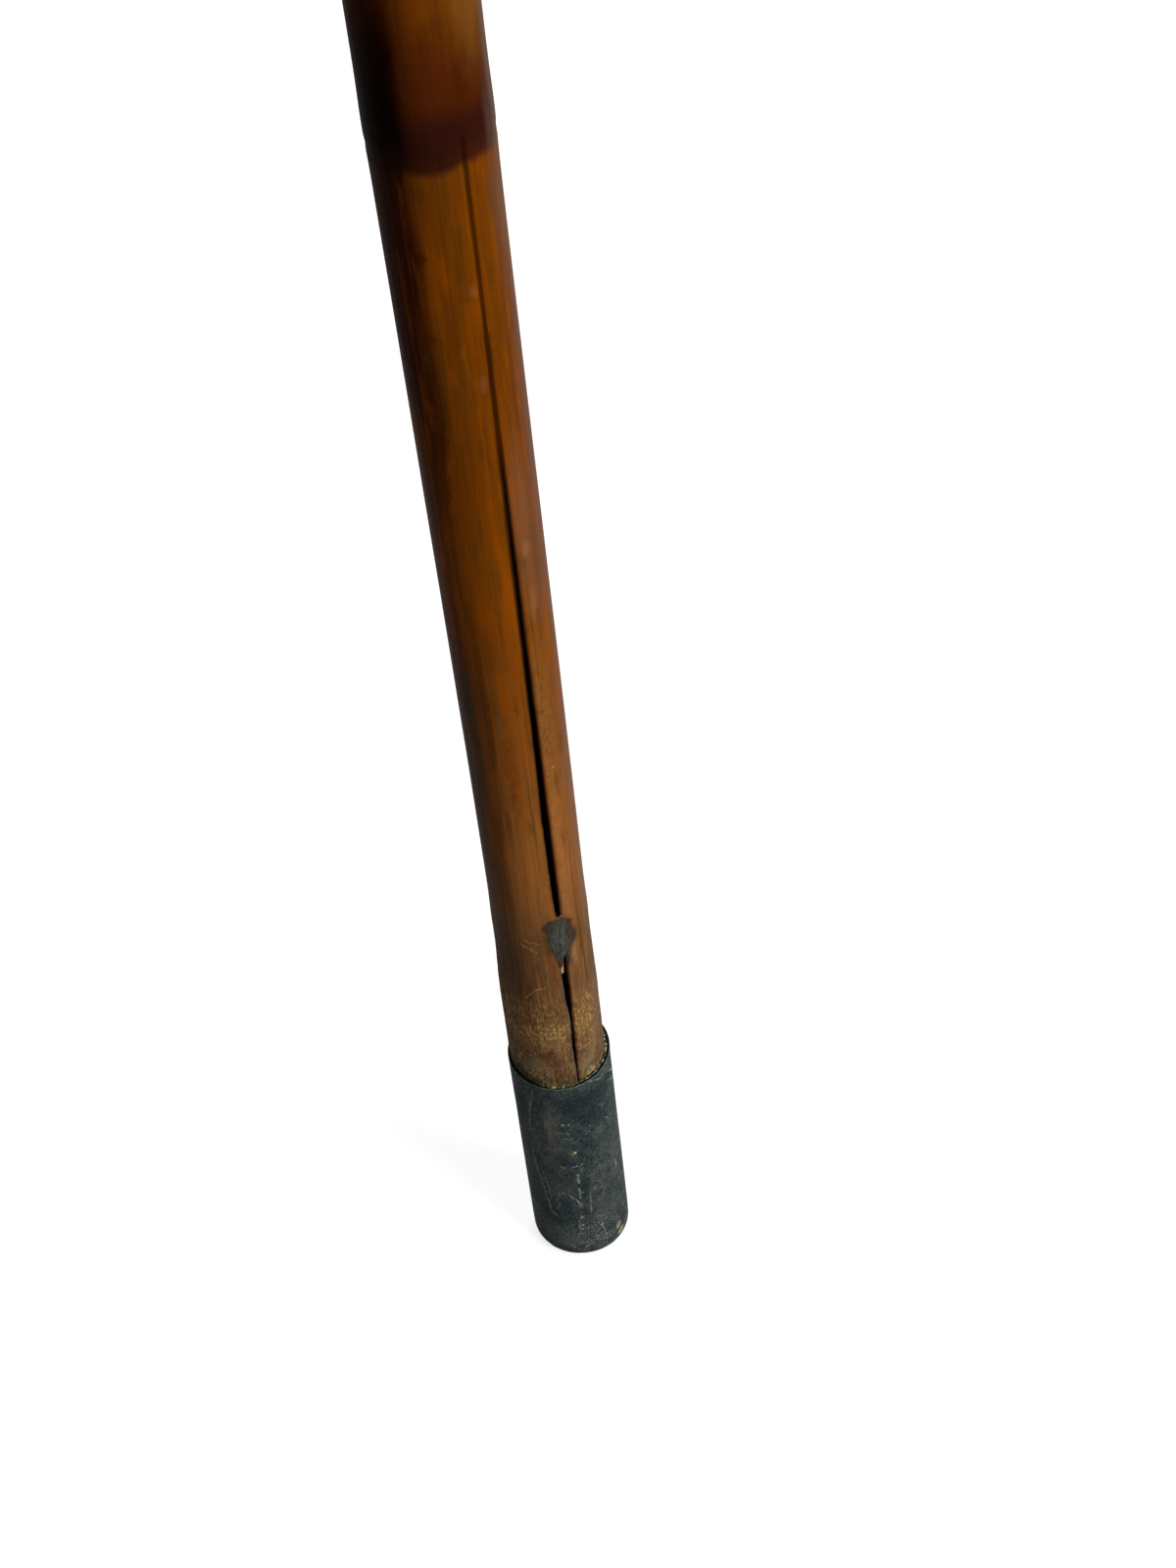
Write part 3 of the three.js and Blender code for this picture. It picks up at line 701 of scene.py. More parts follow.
# The tip plug
# A turned softwood plug driven into the hollow of the culm's foot, so that the cane bears on wood and not on its
# thin wall.
plain_wood = Finish("dowel_wood")
slender = plain_wood.vector("MULTIPLY", plain_wood.place, (1, 0.7, 0.04))
rings = plain_wood.node("ShaderNodeTexWave", {"Vector": slender, "Scale": 0.35, "Distortion": 2.5, "Detail": 3})[1]
fibre = plain_wood.speckle(0.25, 7, 3, 0.6)
plain_wood.colour = plain_wood.mix(rings, (196, 160, 108), (168, 128, 80))
plain_wood.grain(fibre, 0.55, 0.7, 0.5, (120, 86, 50))
plain_wood.surface(Roughness=0.7, Specular_IOR_Level=0.3, Normal=plain_wood.bump(fibre, 0.08))


def in_plain_wood(node):
    """Gives a node that keeps its own solid the plain wood."""
    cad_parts[node].data.materials.clear()
    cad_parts[node].data.materials.append(plain_wood.material)


in_plain_wood("tip_plug")

# The glue
# Olive brown glue that fills the narrow gap between the culm and the ferrule. It has sunk into the gap on the left,
# and on the right it stands a little over the rim, dry and crumbled.
glue_low, glue_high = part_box("ferrule_glue")
glue_bottom = glue_low.z / MM
glue_top = glue_high.z / MM
glue_inner = foot_radius + 0.04
glue_outer = glue_high.x / MM
glue_columns = 240
glue_sunk = 1.5
glue_heaped = 1.6
glue_spill = 0.5
heaped_side = ((-38, -18), (110, 150))
crumb_size = (0.18, 0.5)
crumbs_each = 30.0
crumb_seed = 5
crumb_knock = 0.22
knocks_each_metre = 2600
ferrule_right = 0.1

glue_degrees = np.linspace(-180, 180, glue_columns, endpoint=False)
around = on_surface(glue_outer, glue_degrees, glue_top)
heaped = over(glue_degrees, *heaped_side)
in_front = hump(glue_degrees + 5, 17)
crest = glue_top - glue_sunk + glue_heaped * heaped + 0.25 * in_front
crest += 0.3 * lumps(around, 1.1, 1.1, 30) + 0.2 * lumps(around, 0.4, 0.4, 31)
crest = np.minimum(crest, glue_top + 0.5)
glue_loop = [(glue_inner, glue_bottom), (glue_outer, glue_bottom), (glue_outer, glue_bottom + 1.5),
             (glue_outer, glue_bottom + 3), (glue_outer, crest - 0.25), (glue_outer - 0.06, crest - 0.06),
             ((glue_inner + glue_outer) / 2, crest), (glue_inner + 0.06, crest + 0.05), (glue_inner, crest - 0.08)]
outer_lip = (4, 5)
spill = glue_spill * in_front * (0.5 + 0.5 * lumps(around, 0.7, 0.7, 32))
glue_rows = []
for number, (loop_radius, loop_height) in enumerate(glue_loop):
    outward = (loop_radius - glue_inner) / (glue_outer - glue_inner)
    spilt = spill * (number in outer_lip)
    row = on_surface(loop_radius + spilt, glue_degrees, loop_height)
    row[..., 0] += ferrule_right * outward - foot_left * (1.0 - outward)
    glue_rows.append(row)
glue_points = np.stack(glue_rows + [glue_rows[0]])
crumbly = np.zeros(glue_points.shape[:2])
crumbly[5:-2] = 0.15 + 0.85 * heaped

dry_glue = Finish("dry_glue")
crumbs = dry_glue.speckle(0.35, 0.35, 3, 0.7)
pale_crumbs = dry_glue.speckle(0.5, 0.5, shift=4)
dry_glue.colour = dry_glue.mix(dry_glue.fade(crumbs, 0.38, 0.62), (34, 36, 25), (90, 88, 63))
sparse = dry_glue.times(dry_glue.between(dry_glue.angle, 6, 30, 8), 0.08)
dry_glue.grain(dry_glue.minus(pale_crumbs, sparse), 0.54, 0.66, 1, (180, 174, 148))
dry_glue.grain(pale_crumbs, 0.5, 0.58, 0.85, (164, 150, 98), dry_glue.between(dry_glue.angle, -34, 16, 8))
dry_glue.surface(Roughness=0.85, Specular_IOR_Level=0.02, Normal=dry_glue.bump(crumbs, 0.15))
glue_faces = grid_faces(len(glue_points), glue_columns)
glue_mesh = mesh_of("glue_bead", glue_points, glue_faces, dry_glue.material, 60, crumbly=crumbly)


def recipe(name, given, made, **sizes):
    """A tree of geometry nodes with named inputs, and what each input is set to."""
    tree = bpy.data.node_groups.new(name, "GeometryNodeTree")
    tree.interface.new_socket(given, in_out="INPUT", socket_type="NodeSocketGeometry")
    inputs = {}
    for label, value in sizes.items():
        kind = "NodeSocketInt" if isinstance(value, int) else "NodeSocketFloat"
        socket = tree.interface.new_socket(label.replace("_", " "), in_out="INPUT", socket_type=kind)
        inputs[socket.identifier] = value
    tree.interface.new_socket(made, in_out="OUTPUT", socket_type="NodeSocketGeometry")
    steps = Nodes(tree)
    return steps, steps.node("NodeGroupInput"), inputs


def three_random(steps, low, high, seed):
    """Three random numbers for each point."""
    inputs = {0: (low, low, low), 1: (high, high, high), "Seed": seed}
    return steps.node("FunctionNodeRandomValue", inputs, data_type="FLOAT_VECTOR")[0]


def strewn(steps, points, shape, turns, scale):
    """A copy of a shape on each point, made real."""
    inputs = {"Points": points, "Instance": shape, "Rotation": turns, "Scale": scale}
    placed = steps.node("GeometryNodeInstanceOnPoints", inputs)[0]
    return steps.node("GeometryNodeRealizeInstances", {"Geometry": placed})[0]


def grown(name, mesh, steps, made, inputs):
    """The plain mesh that a recipe's tree makes from a mesh, in the mesh's own material and with its inputs set."""
    material = mesh.materials[0]
    painted = steps.node("GeometryNodeSetMaterial", {"Geometry": made, "Material": material})[0]
    steps.node("NodeGroupOutput", {0: painted})
    host = bpy.data.objects.new(name + "_host", mesh)
    scene.collection.objects.link(host)
    modifier = host.modifiers.new("recipe", "NODES")
    modifier.node_group = steps.tree
    for identifier, value in inputs.items():
        modifier[identifier] = value
    bpy.context.view_layer.update()
    result = bpy.data.meshes.new_from_object(host.evaluated_get(bpy.context.evaluated_depsgraph_get()))
    bpy.data.objects.remove(host)
    result.name = name
    return result


steps, given, inputs = recipe(
    "crumbs_on_the_glue", "Bead", "Crumbled Bead", Crumbs_each_square_millimetre=crumbs_each,
    Smallest_Crumb=crumb_size[0], Largest_Crumb=crumb_size[1], Seed=crumb_seed)
patchy = steps.node("GeometryNodeInputNamedAttribute", {"Name": "crumbly"}, data_type="FLOAT")["Attribute"]
density = steps.times(given["Crumbs each square millimetre"], 1 / MM ** 2, patchy)
scattered = steps.node("GeometryNodeDistributePointsOnFaces",
                       {"Mesh": given["Bead"], "Density": density, "Seed": given["Seed"]},
                       distribute_method="RANDOM")["Points"]
smallest = steps.times(given["Smallest Crumb"], MM / 2)
largest = steps.times(given["Largest Crumb"], MM / 2)
crumb_scale = steps.node("FunctionNodeRandomValue", {2: smallest, 3: largest, "Seed": given["Seed"]},
                         data_type="FLOAT")[1]
turns = three_random(steps, 0, 6.28, given["Seed"])
grain_shape = steps.node("GeometryNodeMeshIcoSphere", {"Radius": 1, "Subdivisions": 1})["Mesh"]
loose = strewn(steps, scattered, grain_shape, turns, crumb_scale)
rough = steps.node("ShaderNodeTexNoise", {"Scale": knocks_each_metre, "Detail": 1})["Color"]
knocked = steps.vector("MULTIPLY", steps.vector("SUBTRACT", rough, (0.5, 0.5, 0.5)), (crumb_knock * MM,) * 3)
chipped = steps.node("GeometryNodeSetPosition", {"Geometry": loose, "Offset": knocked})[0]
both = steps.tree.nodes.new("GeometryNodeJoinGeometry")
steps.feed(both.inputs[0], given["Bead"])
steps.feed(both.inputs[0], chipped)
piece(grown("crumbled_glue", glue_mesh, steps, both.outputs[0], inputs), "ferrule_glue")

# The ferrule
# A cup of thin blackened sheet metal, drawn in one piece, 63 mm long. It is pushed over the culm's foot on the glue
# and pinned. Use has scratched its black, rubbed it brown in places and worn the bottom edge.
ferrule_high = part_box("ferrule")[1]
ferrule_radius = ferrule_high.x / MM
ferrule_length = ferrule_high.z / MM
ferrule_wall = 0.5
ferrule_base = 2.0
ferrule_edge = 1.4
edge_squash = 0.45
squashed_side = ((-10, 40), (80, 120))
rim_edge = 0.14
rim_flare = 0.12
flared_side = ((20, 70), (100, 140))
rim_bend = 0.04
rim_ragged = 0.16
drawn_proud = 0.04
dent_depth = 0.07
nick_depth = 0.14
metal_columns = 216
brush_angle = math.radians(-38)


def arc_points(centre_radius, centre_height, radius, start, end, count):
    angles = np.radians(np.linspace(start, end, count + 1))
    return [(centre_radius + radius * math.cos(a), centre_height + radius * math.sin(a)) for a in angles]


def straight(start, end, step):
    """Points of an outline from a start up to an end, without the end itself."""
    count = max(1, round(math.dist(start, end) / step))
    return [tuple(a + (b - a) * i / count for a, b in zip(start, end)) for i in range(count)]


def turned(outline, columns):
    """Radius, degrees, height and place over a turned piece, a row for each point of its outline."""
    degrees = np.linspace(-180, 180, columns, endpoint=False)
    radius, height = np.array(outline).T[:, :, None]
    spread = [part.copy() for part in np.broadcast_arrays(radius, degrees, height)]
    return (*spread, on_surface(*spread))


def blackened(name, radius, strokes, rubs, flecks, worn_bands, thin_places=(), patches=()):
    """Thin greenish black over grey metal: clouded, pitted, scratched, rubbed brown and worn along its edges, with a
    painted highlight on a rim's outer edge and painted shade on its top and in its bore.
    """
    metal = Finish(name, radius)
    flat = metal.unrolled()
    shaken = metal.unrolled((0.35, 0.35), 1.1)
    clouds = metal.speckle(4, 7, 5, 0.62)
    metal.colour = metal.mix(metal.fade(clouds, 0.34, 0.66), (38, 51, 52), (62, 69, 68))
    metal.grain(metal.speckle(7, 11, 3, shift=3.1), 0.5, 0.68, 0.6, (28, 50, 46))
    thin_black = metal.most(((metal.spot(flat, oval, 0.7), strength) for *oval, strength in thin_places),
                            metal.fade(metal.math("ABSOLUTE", metal.angle), 75, 100, 0, 0.5))
    metal.grain(metal.speckle(1, 6.5, 5, 0.75, 6.3), 0.42, 0.58, 1, (90, 85, 79), thin_black)
    slanted = metal.node("ShaderNodeVectorRotate", {"Vector": flat, "Axis": (0, 0, 1), "Angle": brush_angle})[0]
    slanted = metal.vector("MULTIPLY", slanted, (0.3, 3, 1))
    brushed = metal.node("ShaderNodeTexNoise", {"Vector": slanted, "Scale": 1, "Detail": 4, "Roughness": 0.6})["Fac"]
    mottle = metal.speckle(1.7, 2.4, 6, 0.78, 22)
    hatch = metal.speckle(1.5, 0.32, 4, 0.75, 5)
    grit = metal.speckle(0.55, 0.55, 3, 0.6, 9)
    pits = metal.speckle(0.28, 0.28, 2, 0.6, 31)
    for layer in (
            (brushed, 0.54, 0.7, 0.35, (96, 103, 101)), (brushed, 0.46, 0.34, 0.35, (24, 34, 35)),
            (mottle, 0.52, 0.62, 0.6, (82, 89, 87)), (mottle, 0.48, 0.4, 0.7, (22, 33, 34)),
            (hatch, 0.58, 0.76, 0.4, (98, 104, 100)),
            (grit, 0.55, 0.68, 0.6, (120, 124, 118), metal.fade(clouds, 0.44, 0.62)),
            (grit, 0.42, 0.3, 0.6, (16, 24, 24)), (pits, 0.54, 0.64, 0.6, (108, 116, 114)),
            (pits, 0.44, 0.34, 0.5, (18, 26, 27))):
        metal.grain(*layer)

    streaks = metal.fade(metal.speckle(0.5, 4.5, 4, 0.7, 14), 0.4, 0.66)
    for *line, width, strength in rubs:
        metal.lay(strength, (92, 86, 78), metal.stroke(shaken, line, width, 0.9), streaks)
    for width, length, shift, strength in ((2.4, 9, 40, 0.45), (3.5, 2.2, 41, 0.4)):
        curled = metal.between(metal.speckle(width, length, 1, shift=shift), 0.497, 0.503, 0.006)
        patchy = metal.fade(metal.speckle(5, 5, shift=shift + 2), 0.46, 0.62)
        metal.lay(strength, (128, 136, 132), curled, patchy)
    scratches = metal.most((metal.stroke(shaken, line, width), strength) for *line, width, strength in strokes)
    metal.grain(metal.speckle(0.45, 0.7, 3, 0.7, 12), 0.42, 0.56, 1, (172, 178, 168), scratches)
    across = math.degrees(0.08 / radius)
    dots = metal.most((metal.stroke(shaken, (degrees, height, degrees + across, height + 0.14), width), strength)
                      for degrees, height, width, strength in flecks)
    metal.lay(1, (170, 172, 152), dots)

    chipped = metal.speckle(0.8, 0.5, 4, 0.7, 20)
    for height, reach, amount, tone in worn_bands:
        near = metal.fade(metal.math("ABSOLUTE", metal.minus(metal.height, height)), reach, 0)
        metal.grain(metal.plus(chipped, metal.times(near, amount)), 0.66, 0.82, 0.8, tone, near)
    specks = metal.speckle(0.42, 0.42, 3, 0.7, 25)
    for *oval, cover, strength, tone in patches:
        metal.grain(specks, cover, cover + 0.08, strength, tone, metal.spot(shaken, oval, 0.7))
    # The rim's outer edge, worn to bare metal with a painted highlight along it
    metal.lay(1, (108, 116, 108), metal.marked("rubbed_rim"), metal.fade(chipped, 0.38, 0.52, 0.05, 0.6))
    # Painted shade, near black, on the rim's top and in the bore
    metal.lay(0.92, (9, 11, 10), metal.marked("shaded"))
    return metal.surface(Roughness=metal.fade(clouds, 0.3, 0.7, 0.5, 0.66), Specular_IOR_Level=0.005,
                         Normal=metal.bump(hatch, 0.05, Normal=metal.bump(grit, 0.05)))


# Scratches and rubs: degrees and height of both ends, width and strength
ferrule_strokes = [
    (3, 31.6, 2.6, 28.4, 0.34, 0.9), (2.5, 26.2, 2.3, 22.6, 0.46, 1), (-24, 24.2, -17.9, 24.8, 0.3, 0.5),
    (-17.9, 24.8, -7.6, 23.4, 0.3, 0.7), (-7.6, 23.4, 0.2, 20.9, 0.36, 0.8), (-36.8, 61, -46, 54, 0.5, 0.4),
    (-46, 54, -52.4, 44, 0.4, 0.4), (-43.7, 26, -36.1, 16.3, 0.36, 0.5), (-24.8, 21.5, -24.6, 19.2, 0.34, 0.5),
    (29.8, 62.6, 45.7, 60.6, 0.36, 0.45), (45.7, 60.6, 62, 60.8, 0.34, 0.5), (64, 59, 80, 55.5, 0.5, 0.6),
    (58, 57, 84, 52, 0.4, 0.45), (33, 54, 44, 51.6, 0.34, 0.3), (48.5, 46, 51, 45.2, 0.42, 0.7),
    (56.3, 28.4, 57, 26, 0.46, 0.9), (-16.2, 34.9, -12, 34.5, 0.4, 0.6), (-0.6, 34.7, 2.6, 34.9, 0.46, 0.6),
    (-13, 47.7, -0.5, 46.8, 0.34, 0.4), (-8, 45.4, 0, 45, 0.3, 0.3), (7.2, 33.4, 8.4, 31, 0.3, 0.4),
    (-34.8, 16.2, -30.6, 15.3, 0.46, 0.8), (-50, 34, -45, 25, 0.34, 0.45), (-40, 31, -33, 22, 0.32, 0.4),
    (-47, 29, -40, 27.4, 0.3, 0.4), (-53, 40, -50.5, 30, 0.34, 0.4), (-22, 26, -27, 18, 0.3, 0.35),
    (14, 24, 12.6, 16, 0.3, 0.35), (-3, 14, -3.4, 9, 0.34, 0.45), (-20, 5, -13, 3.4, 0.36, 0.5),
    (6, 4.4, 14, 3.8, 0.36, 0.5), (26, 8.6, 28, 5, 0.34, 0.5), (120, 55, 131, 30, 0.34, 0.6),
    (-140, 44, -136, 12, 0.4, 0.6), (168, 22, 150, 18, 0.36, 0.6)]
ferrule_rubs = [
    (-22, 57, -22.5, 41, 3.2, 0.5), (-41, 61, -50, 46, 1.6, 0.5), (-42, 40, -26, 28, 5, 0.3),
    (46, 40, 34, 14, 7, 0.22), (-150, 50, -158, 20, 6, 0.4), (112, 40, 120, 10, 6, 0.35)]
# Flecks: degrees, height, width and strength
ferrule_flecks = [
    (-6.8, 50.2, 0.5, 0.9), (-0.6, 50.1, 0.44, 0.7), (24.5, 47.4, 0.36, 0.4), (20.2, 24.9, 0.4, 0.7),
    (5.4, 24.7, 0.46, 0.7), (0.6, 15.2, 0.5, 0.7), (0.1, 12.1, 0.52, 0.8), (-0.8, 10.6, 0.5, 0.7),
    (23.3, 10, 0.56, 0.8), (6.6, 10.7, 0.4, 0.5), (9, 34.9, 0.4, 0.4), (-52, 33, 0.4, 0.5)]
# Thin places: degrees, height, width, length and strength. Patches have how much they leave bare, and a tone, too.
ferrule_thin_places = [
    (-21, 49, 5.4, 24, 1), (-40, 30, 7, 22, 0.6), (30, 24, 5.4, 36, 0.7), (54, 26, 5, 34, 0.5),
    (34, 44, 6, 12, 0.4)]
deep_black = (24, 34, 36)
dull_grey = (100, 108, 106)
ferrule_patches = [
    (1, 20.3, 1.2, 2.8, 0.4, 1, (132, 112, 66)), (48.6, 4.8, 2.2, 3.4, 0.44, 1, (178, 162, 122)),
    (51.6, 2.2, 3, 2.2, 0.42, 1, (186, 176, 148)), (10, 3.6, 9, 5, 0.36, 0.55, deep_black),
    (14, 9.5, 7, 12, 0.57, 1, (150, 154, 146)), (0, 4.2, 18, 5.4, 0.54, 1, (148, 152, 144)),
    (26, 13, 3.6, 8, 0.55, 0.95, (144, 148, 142)), (38, 7, 5, 7, 0.6, 0.8, (136, 140, 132)),
    (-30, 40, 8, 16, 0.5, 0.6, (104, 106, 100)), (9, 56, 8, 15, 0.2, 0.6, deep_black),
    (36, 56, 9, 14, 0.34, 0.5, deep_black), (9, 27, 2.8, 15, 0.3, 0.55, deep_black),
    (-9, 30, 4, 8, 0.36, 0.5, deep_black), (-66, 52, 6, 18, 0.2, 0.7, deep_black),
    (-66, 5, 6, 9, 0.26, 0.6, deep_black), (-33, 7, 9, 13, 0.44, 0.8, dull_grey),
    (-12, 8, 7, 13, 0.47, 0.7, dull_grey), (-44, 43, 4, 13, 0.46, 0.7, dull_grey),
    (-26, 24, 5, 9, 0.5, 0.5, dull_grey), (18, 42, 5, 8, 0.4, 0.4, deep_black),
    (4, 24, 3.2, 6, 0.34, 0.5, deep_black), (54, 57, 9, 9, 0.36, 0.5, deep_black),
    (45, 48, 6, 7, 0.4, 0.5, deep_black), (50, 21, 6, 9, 0.42, 0.45, deep_black),
    (-66, 46, 4, 14, 0.3, 0.5, deep_black), (62, 5, 5, 5, 0.36, 0.5, deep_black),
    (24, 50, 7, 9, 0.36, 0.55, deep_black), (34, 41, 6, 6, 0.4, 0.4, deep_black),
    (34, 18, 4, 8, 0.42, 0.4, deep_black), (-24, 49, 2.6, 16, 0.46, 0.7, (110, 108, 98))]
worn_bottom = [(5, 3.6, 0.16, (112, 112, 104)), (0.8, 1.5, 0.22, (128, 122, 106))]
ferrule_black = blackened("blackened_ferrule", ferrule_radius, ferrule_strokes, ferrule_rubs, ferrule_flecks,
                          worn_bottom, ferrule_thin_places, ferrule_patches)

ferrule_bore = ferrule_radius - ferrule_wall
ferrule_outline = (
    [(0.0, 0.0)]
    + straight((1.5, 0), (ferrule_radius - ferrule_edge, 0), 1.1)
    + arc_points(ferrule_radius - ferrule_edge, ferrule_edge, ferrule_edge, -90, 0, 8)
    + straight((ferrule_radius, ferrule_edge + 0.5), (ferrule_radius, ferrule_length - 2 * rim_edge), 0.6)
    + [(ferrule_radius, ferrule_length - 2 * rim_edge)]
    + arc_points(ferrule_radius - rim_edge, ferrule_length - rim_edge, rim_edge, 0, 90, 3)
    + arc_points(ferrule_bore + rim_edge, ferrule_length - rim_edge, rim_edge, 90, 180, 3)
    + straight((ferrule_bore, ferrule_length - 0.6), (ferrule_bore, ferrule_base), 4)
    + [(ferrule_bore, ferrule_base), (0, ferrule_base)])
radius, degrees, height, bare = turned(ferrule_outline, metal_columns)
round_it = on_surface(ferrule_radius, degrees, 0.0)
outside = radius > ferrule_bore + 0.02
rim_corner = ferrule_radius - rim_edge + 0.01
# The rim's outer edge, where the wear and the painted highlight go
rubbed_rim = (height > ferrule_length - rim_edge - 0.01) & (radius > rim_corner)
# Painted shade on the rim's top and in the bore
shaded = (height > ferrule_base) & (radius < rim_corner)
side = ramp(height, ferrule_edge, ferrule_edge + 4) * outside
near_rim = ramp(height, ferrule_length - 3, ferrule_length)
dents = (drawn_proud - dent_depth * np.clip(lumps(bare, 8, 14, 40), 0, 1)) * side
nicks = nick_depth * np.clip(lumps(bare, 1.6, 1.6, 41) - 0.25, 0, 1) * ramp(height, 5, 0) * outside
bent_rim = rim_bend * lumps(round_it, 5, 5, 42) + rim_flare * over(degrees, *flared_side)
ragged_rim = rim_ragged * lumps(round_it, 1.5, 1.5, 43) - 0.1
corner = (height < ferrule_edge) & (radius > ferrule_radius - ferrule_edge)
fuller = np.where(corner, 1 - edge_squash * over(degrees, *squashed_side), 1)
radius = np.where(corner, ferrule_radius - (ferrule_radius - radius) * fuller, radius)
height = height * fuller
radius = radius + dents - nicks + bent_rim * near_rim * (radius > ferrule_bore - 0.02)
height = height + ragged_rim * near_rim * (height > ferrule_length - 0.5)
ferrule_points = on_surface(radius, degrees, height) + [ferrule_right, 0, 0]
ferrule_faces = grid_faces(len(ferrule_outline), metal_columns)
piece(mesh_of("worn_ferrule", ferrule_points, ferrule_faces, ferrule_black, rubbed_rim=rubbed_rim, shaded=shaded),
      "ferrule")

# The ferrule's pin
# A brass pin driven through the ferrule into the culm and filed down almost to the metal. The ferrule's black covers
# its head except where it has rubbed through.
pin_columns = 28
pin_proud = 0.035
pin_sunk = 0.03
pin_chamfer = 0.06


def pin_mesh(name, node, direction, head_radius, material):
    """A pin with a low filed dome for a head, along its node's own axis."""
    low, high = (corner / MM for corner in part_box(node))
    middle_height = (low.z + high.z) / 2
    pin_radius = (high.z - low.z) / 2
    across = Vector((math.sin(math.radians(direction)), -math.cos(math.radians(direction)), 0))
    inner = min(Vector((x, y, 0)).dot(across) for x in (low.x, high.x) for y in (low.y, high.y))
    inner = max(inner, bore_radius + 0.9)
    outline = [(0, inner), (pin_radius, inner), (pin_radius, head_radius - pin_sunk),
               (pin_radius - pin_chamfer, head_radius), (pin_radius * 0.6, head_radius + pin_proud * 0.7),
               (pin_radius * 0.3, head_radius + pin_proud), (0, head_radius + pin_proud)]
    ring, along = np.array(outline).T[:, :, None, None]
    turn = np.linspace(0, 2 * math.pi, pin_columns, endpoint=False)[:, None]
    sideways = np.array((across.y, -across.x, 0))
    points = along * np.array(across) + ring * np.cos(turn) * sideways
    points[..., 2] += middle_height + (ring * np.sin(turn))[..., 0]
    return mesh_of(name, points, grid_faces(len(outline), pin_columns), material, 40)


def pin_head(name, node, direction, radius, proud):
    """A pin in brass, tarnished brown to one side and half covered with the black of the metal round it."""
    brass = Finish("brass_of_the_" + name, radius)
    flat = brass.unrolled((0.12, 0.12), 0.5)
    pin_height = sum(corner.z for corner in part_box(node)) / 2 / MM

    def patch(right, up, width, length, soft):
        place = (direction + math.degrees(right / radius), pin_height + up)
        return brass.spot(flat, (*place, width, length), soft)

    fine = brass.speckle(0.22, 0.22, 3, 0.6)
    brass.colour = brass.mix(brass.fade(fine, 0.35, 0.65), (112, 92, 44), (166, 156, 72))
    brass.lay(1, (160, 104, 40), patch(-0.38, -0.4, 0.9, 0.9, 0.6))
    brass.lay(1, (208, 204, 116), patch(0.26, 0.3, 0.8, 0.8, 0.7))
    shown = brass.math("MAXIMUM", patch(-0.34, -0.38, 0.62, 0.7, 0.35), patch(0.24, 0.26, 0.86, 0.82, 0.35))
    brass.colour = brass.mix(shown, (36, 44, 42), brass.colour)
    brass.surface(Roughness=brass.fade(fine, 0.3, 0.7, 0.36, 0.6), Metallic=0.4, Specular_IOR_Level=0.3,
                  Normal=brass.bump(fine, 0.05))
    piece(pin_mesh(name, node, direction, radius + proud, brass.material), node)


pin_head("ferrule_pin_head", "ferrule_pin", 1.5, ferrule_radius, 0.03)

# The dowel
# A turned wooden dowel glued half into the top of the culm's hollow and half into the knob.
in_plain_wood("knob_dowel")

# The knob
# Dark hardwood turned on a lathe, with a bead and a groove on each side of a band, and a ball on a neck. The band is
# chip carved by hand in two rows of three-cornered notches. Hands have rubbed its high places paler.
knob_low, knob_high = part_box("knob")
joint_height = knob_low.z / MM
knob_top = knob_high.z / MM
collar_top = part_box("collar")[1].z / MM
shoulder_radius = 11.8
bead_radius = 1.3
groove_width = 2.0
groove_radius = 11.2
band_radius = 12.1
band_height = 23.0
neck_radius = 10.8
neck_length = 13.5
ball_radius = knob_high.x / MM - 0.03
ball_start = -58.0
dowel_hole = (bore_radius, joint_height + 34.3)
knob_columns = 180
chip_rows = 2
chips_around = 12
chip_depth = 1.2
chip_ridge = 0.9
chip_margin = 1.1
chip_reach = 1.5
chip_point = 0.14
slip_turn = 0.008
slip_rise = 0.12
slip_depth = 0.1
chip_seed = 11

band_bottom = collar_top + 2 * bead_radius + groove_width
band_top = band_bottom + band_height
upper_bead = band_top + groove_width + bead_radius
neck_bottom = upper_bead + bead_radius
ball_centre = knob_top - ball_radius - 0.03
neck_end = arc_points(0.0, ball_centre, ball_radius, ball_start, 90, 44)[0]
neck_pull = (neck_radius, neck_bottom + neck_length * 2 / 3)
neck_curve = [tuple((1 - t) ** 2 * a + 2 * t * (1 - t) * b + t * t * c
                    for a, b, c in zip((neck_radius, neck_bottom), neck_pull, neck_end))
              for t in np.linspace(0, 1, 15)[:-1]]


def groove(bottom, top):
    """A groove's sides and floor, with its corners a little round."""
    return [(groove_radius + 0.15, bottom), (groove_radius, bottom + 0.15), (groove_radius, top - 0.12),
            (groove_radius + 0.12, top)]


knob_outline = (
    [(0.0, dowel_hole[1]), dowel_hole, (dowel_hole[0], joint_height), (top_radius - 0.15, joint_height),
     (top_radius - 0.02, joint_height + 0.13), (top_radius - 0.02, collar_top)]
    + arc_points(shoulder_radius, collar_top + bead_radius, bead_radius, -90, 90, 14)
    + groove(collar_top + 2 * bead_radius, band_bottom)
    + [(band_radius - 0.16, band_bottom)]
    + straight((band_radius, band_bottom + 0.16), (band_radius, band_top - 0.16), 2.3)
    + [(band_radius, band_top - 0.16), (band_radius - 0.16, band_top)]
    + groove(band_top + groove_width, band_top)[::-1]
    + arc_points(shoulder_radius, upper_bead, bead_radius, -90, 90, 14)
    + neck_curve
    + arc_points(0.0, ball_centre, ball_radius, ball_start, 90, 44)[:-1]
    + [(0.0, ball_centre + ball_radius)])
radius, degrees, height, bare = turned(knob_outline, knob_columns)
by_hand = 0.07 * (lumps(bare, 11, 9, 50) - 1) * smooth(height, band_top + 1, band_top + 6)
by_hand += 0.05 * (lumps(bare, 3, 1.6, 51) - 1) * smooth(height, band_top, band_top + 2)
radius = np.where(radius > groove_radius - 1, radius + by_hand, radius)

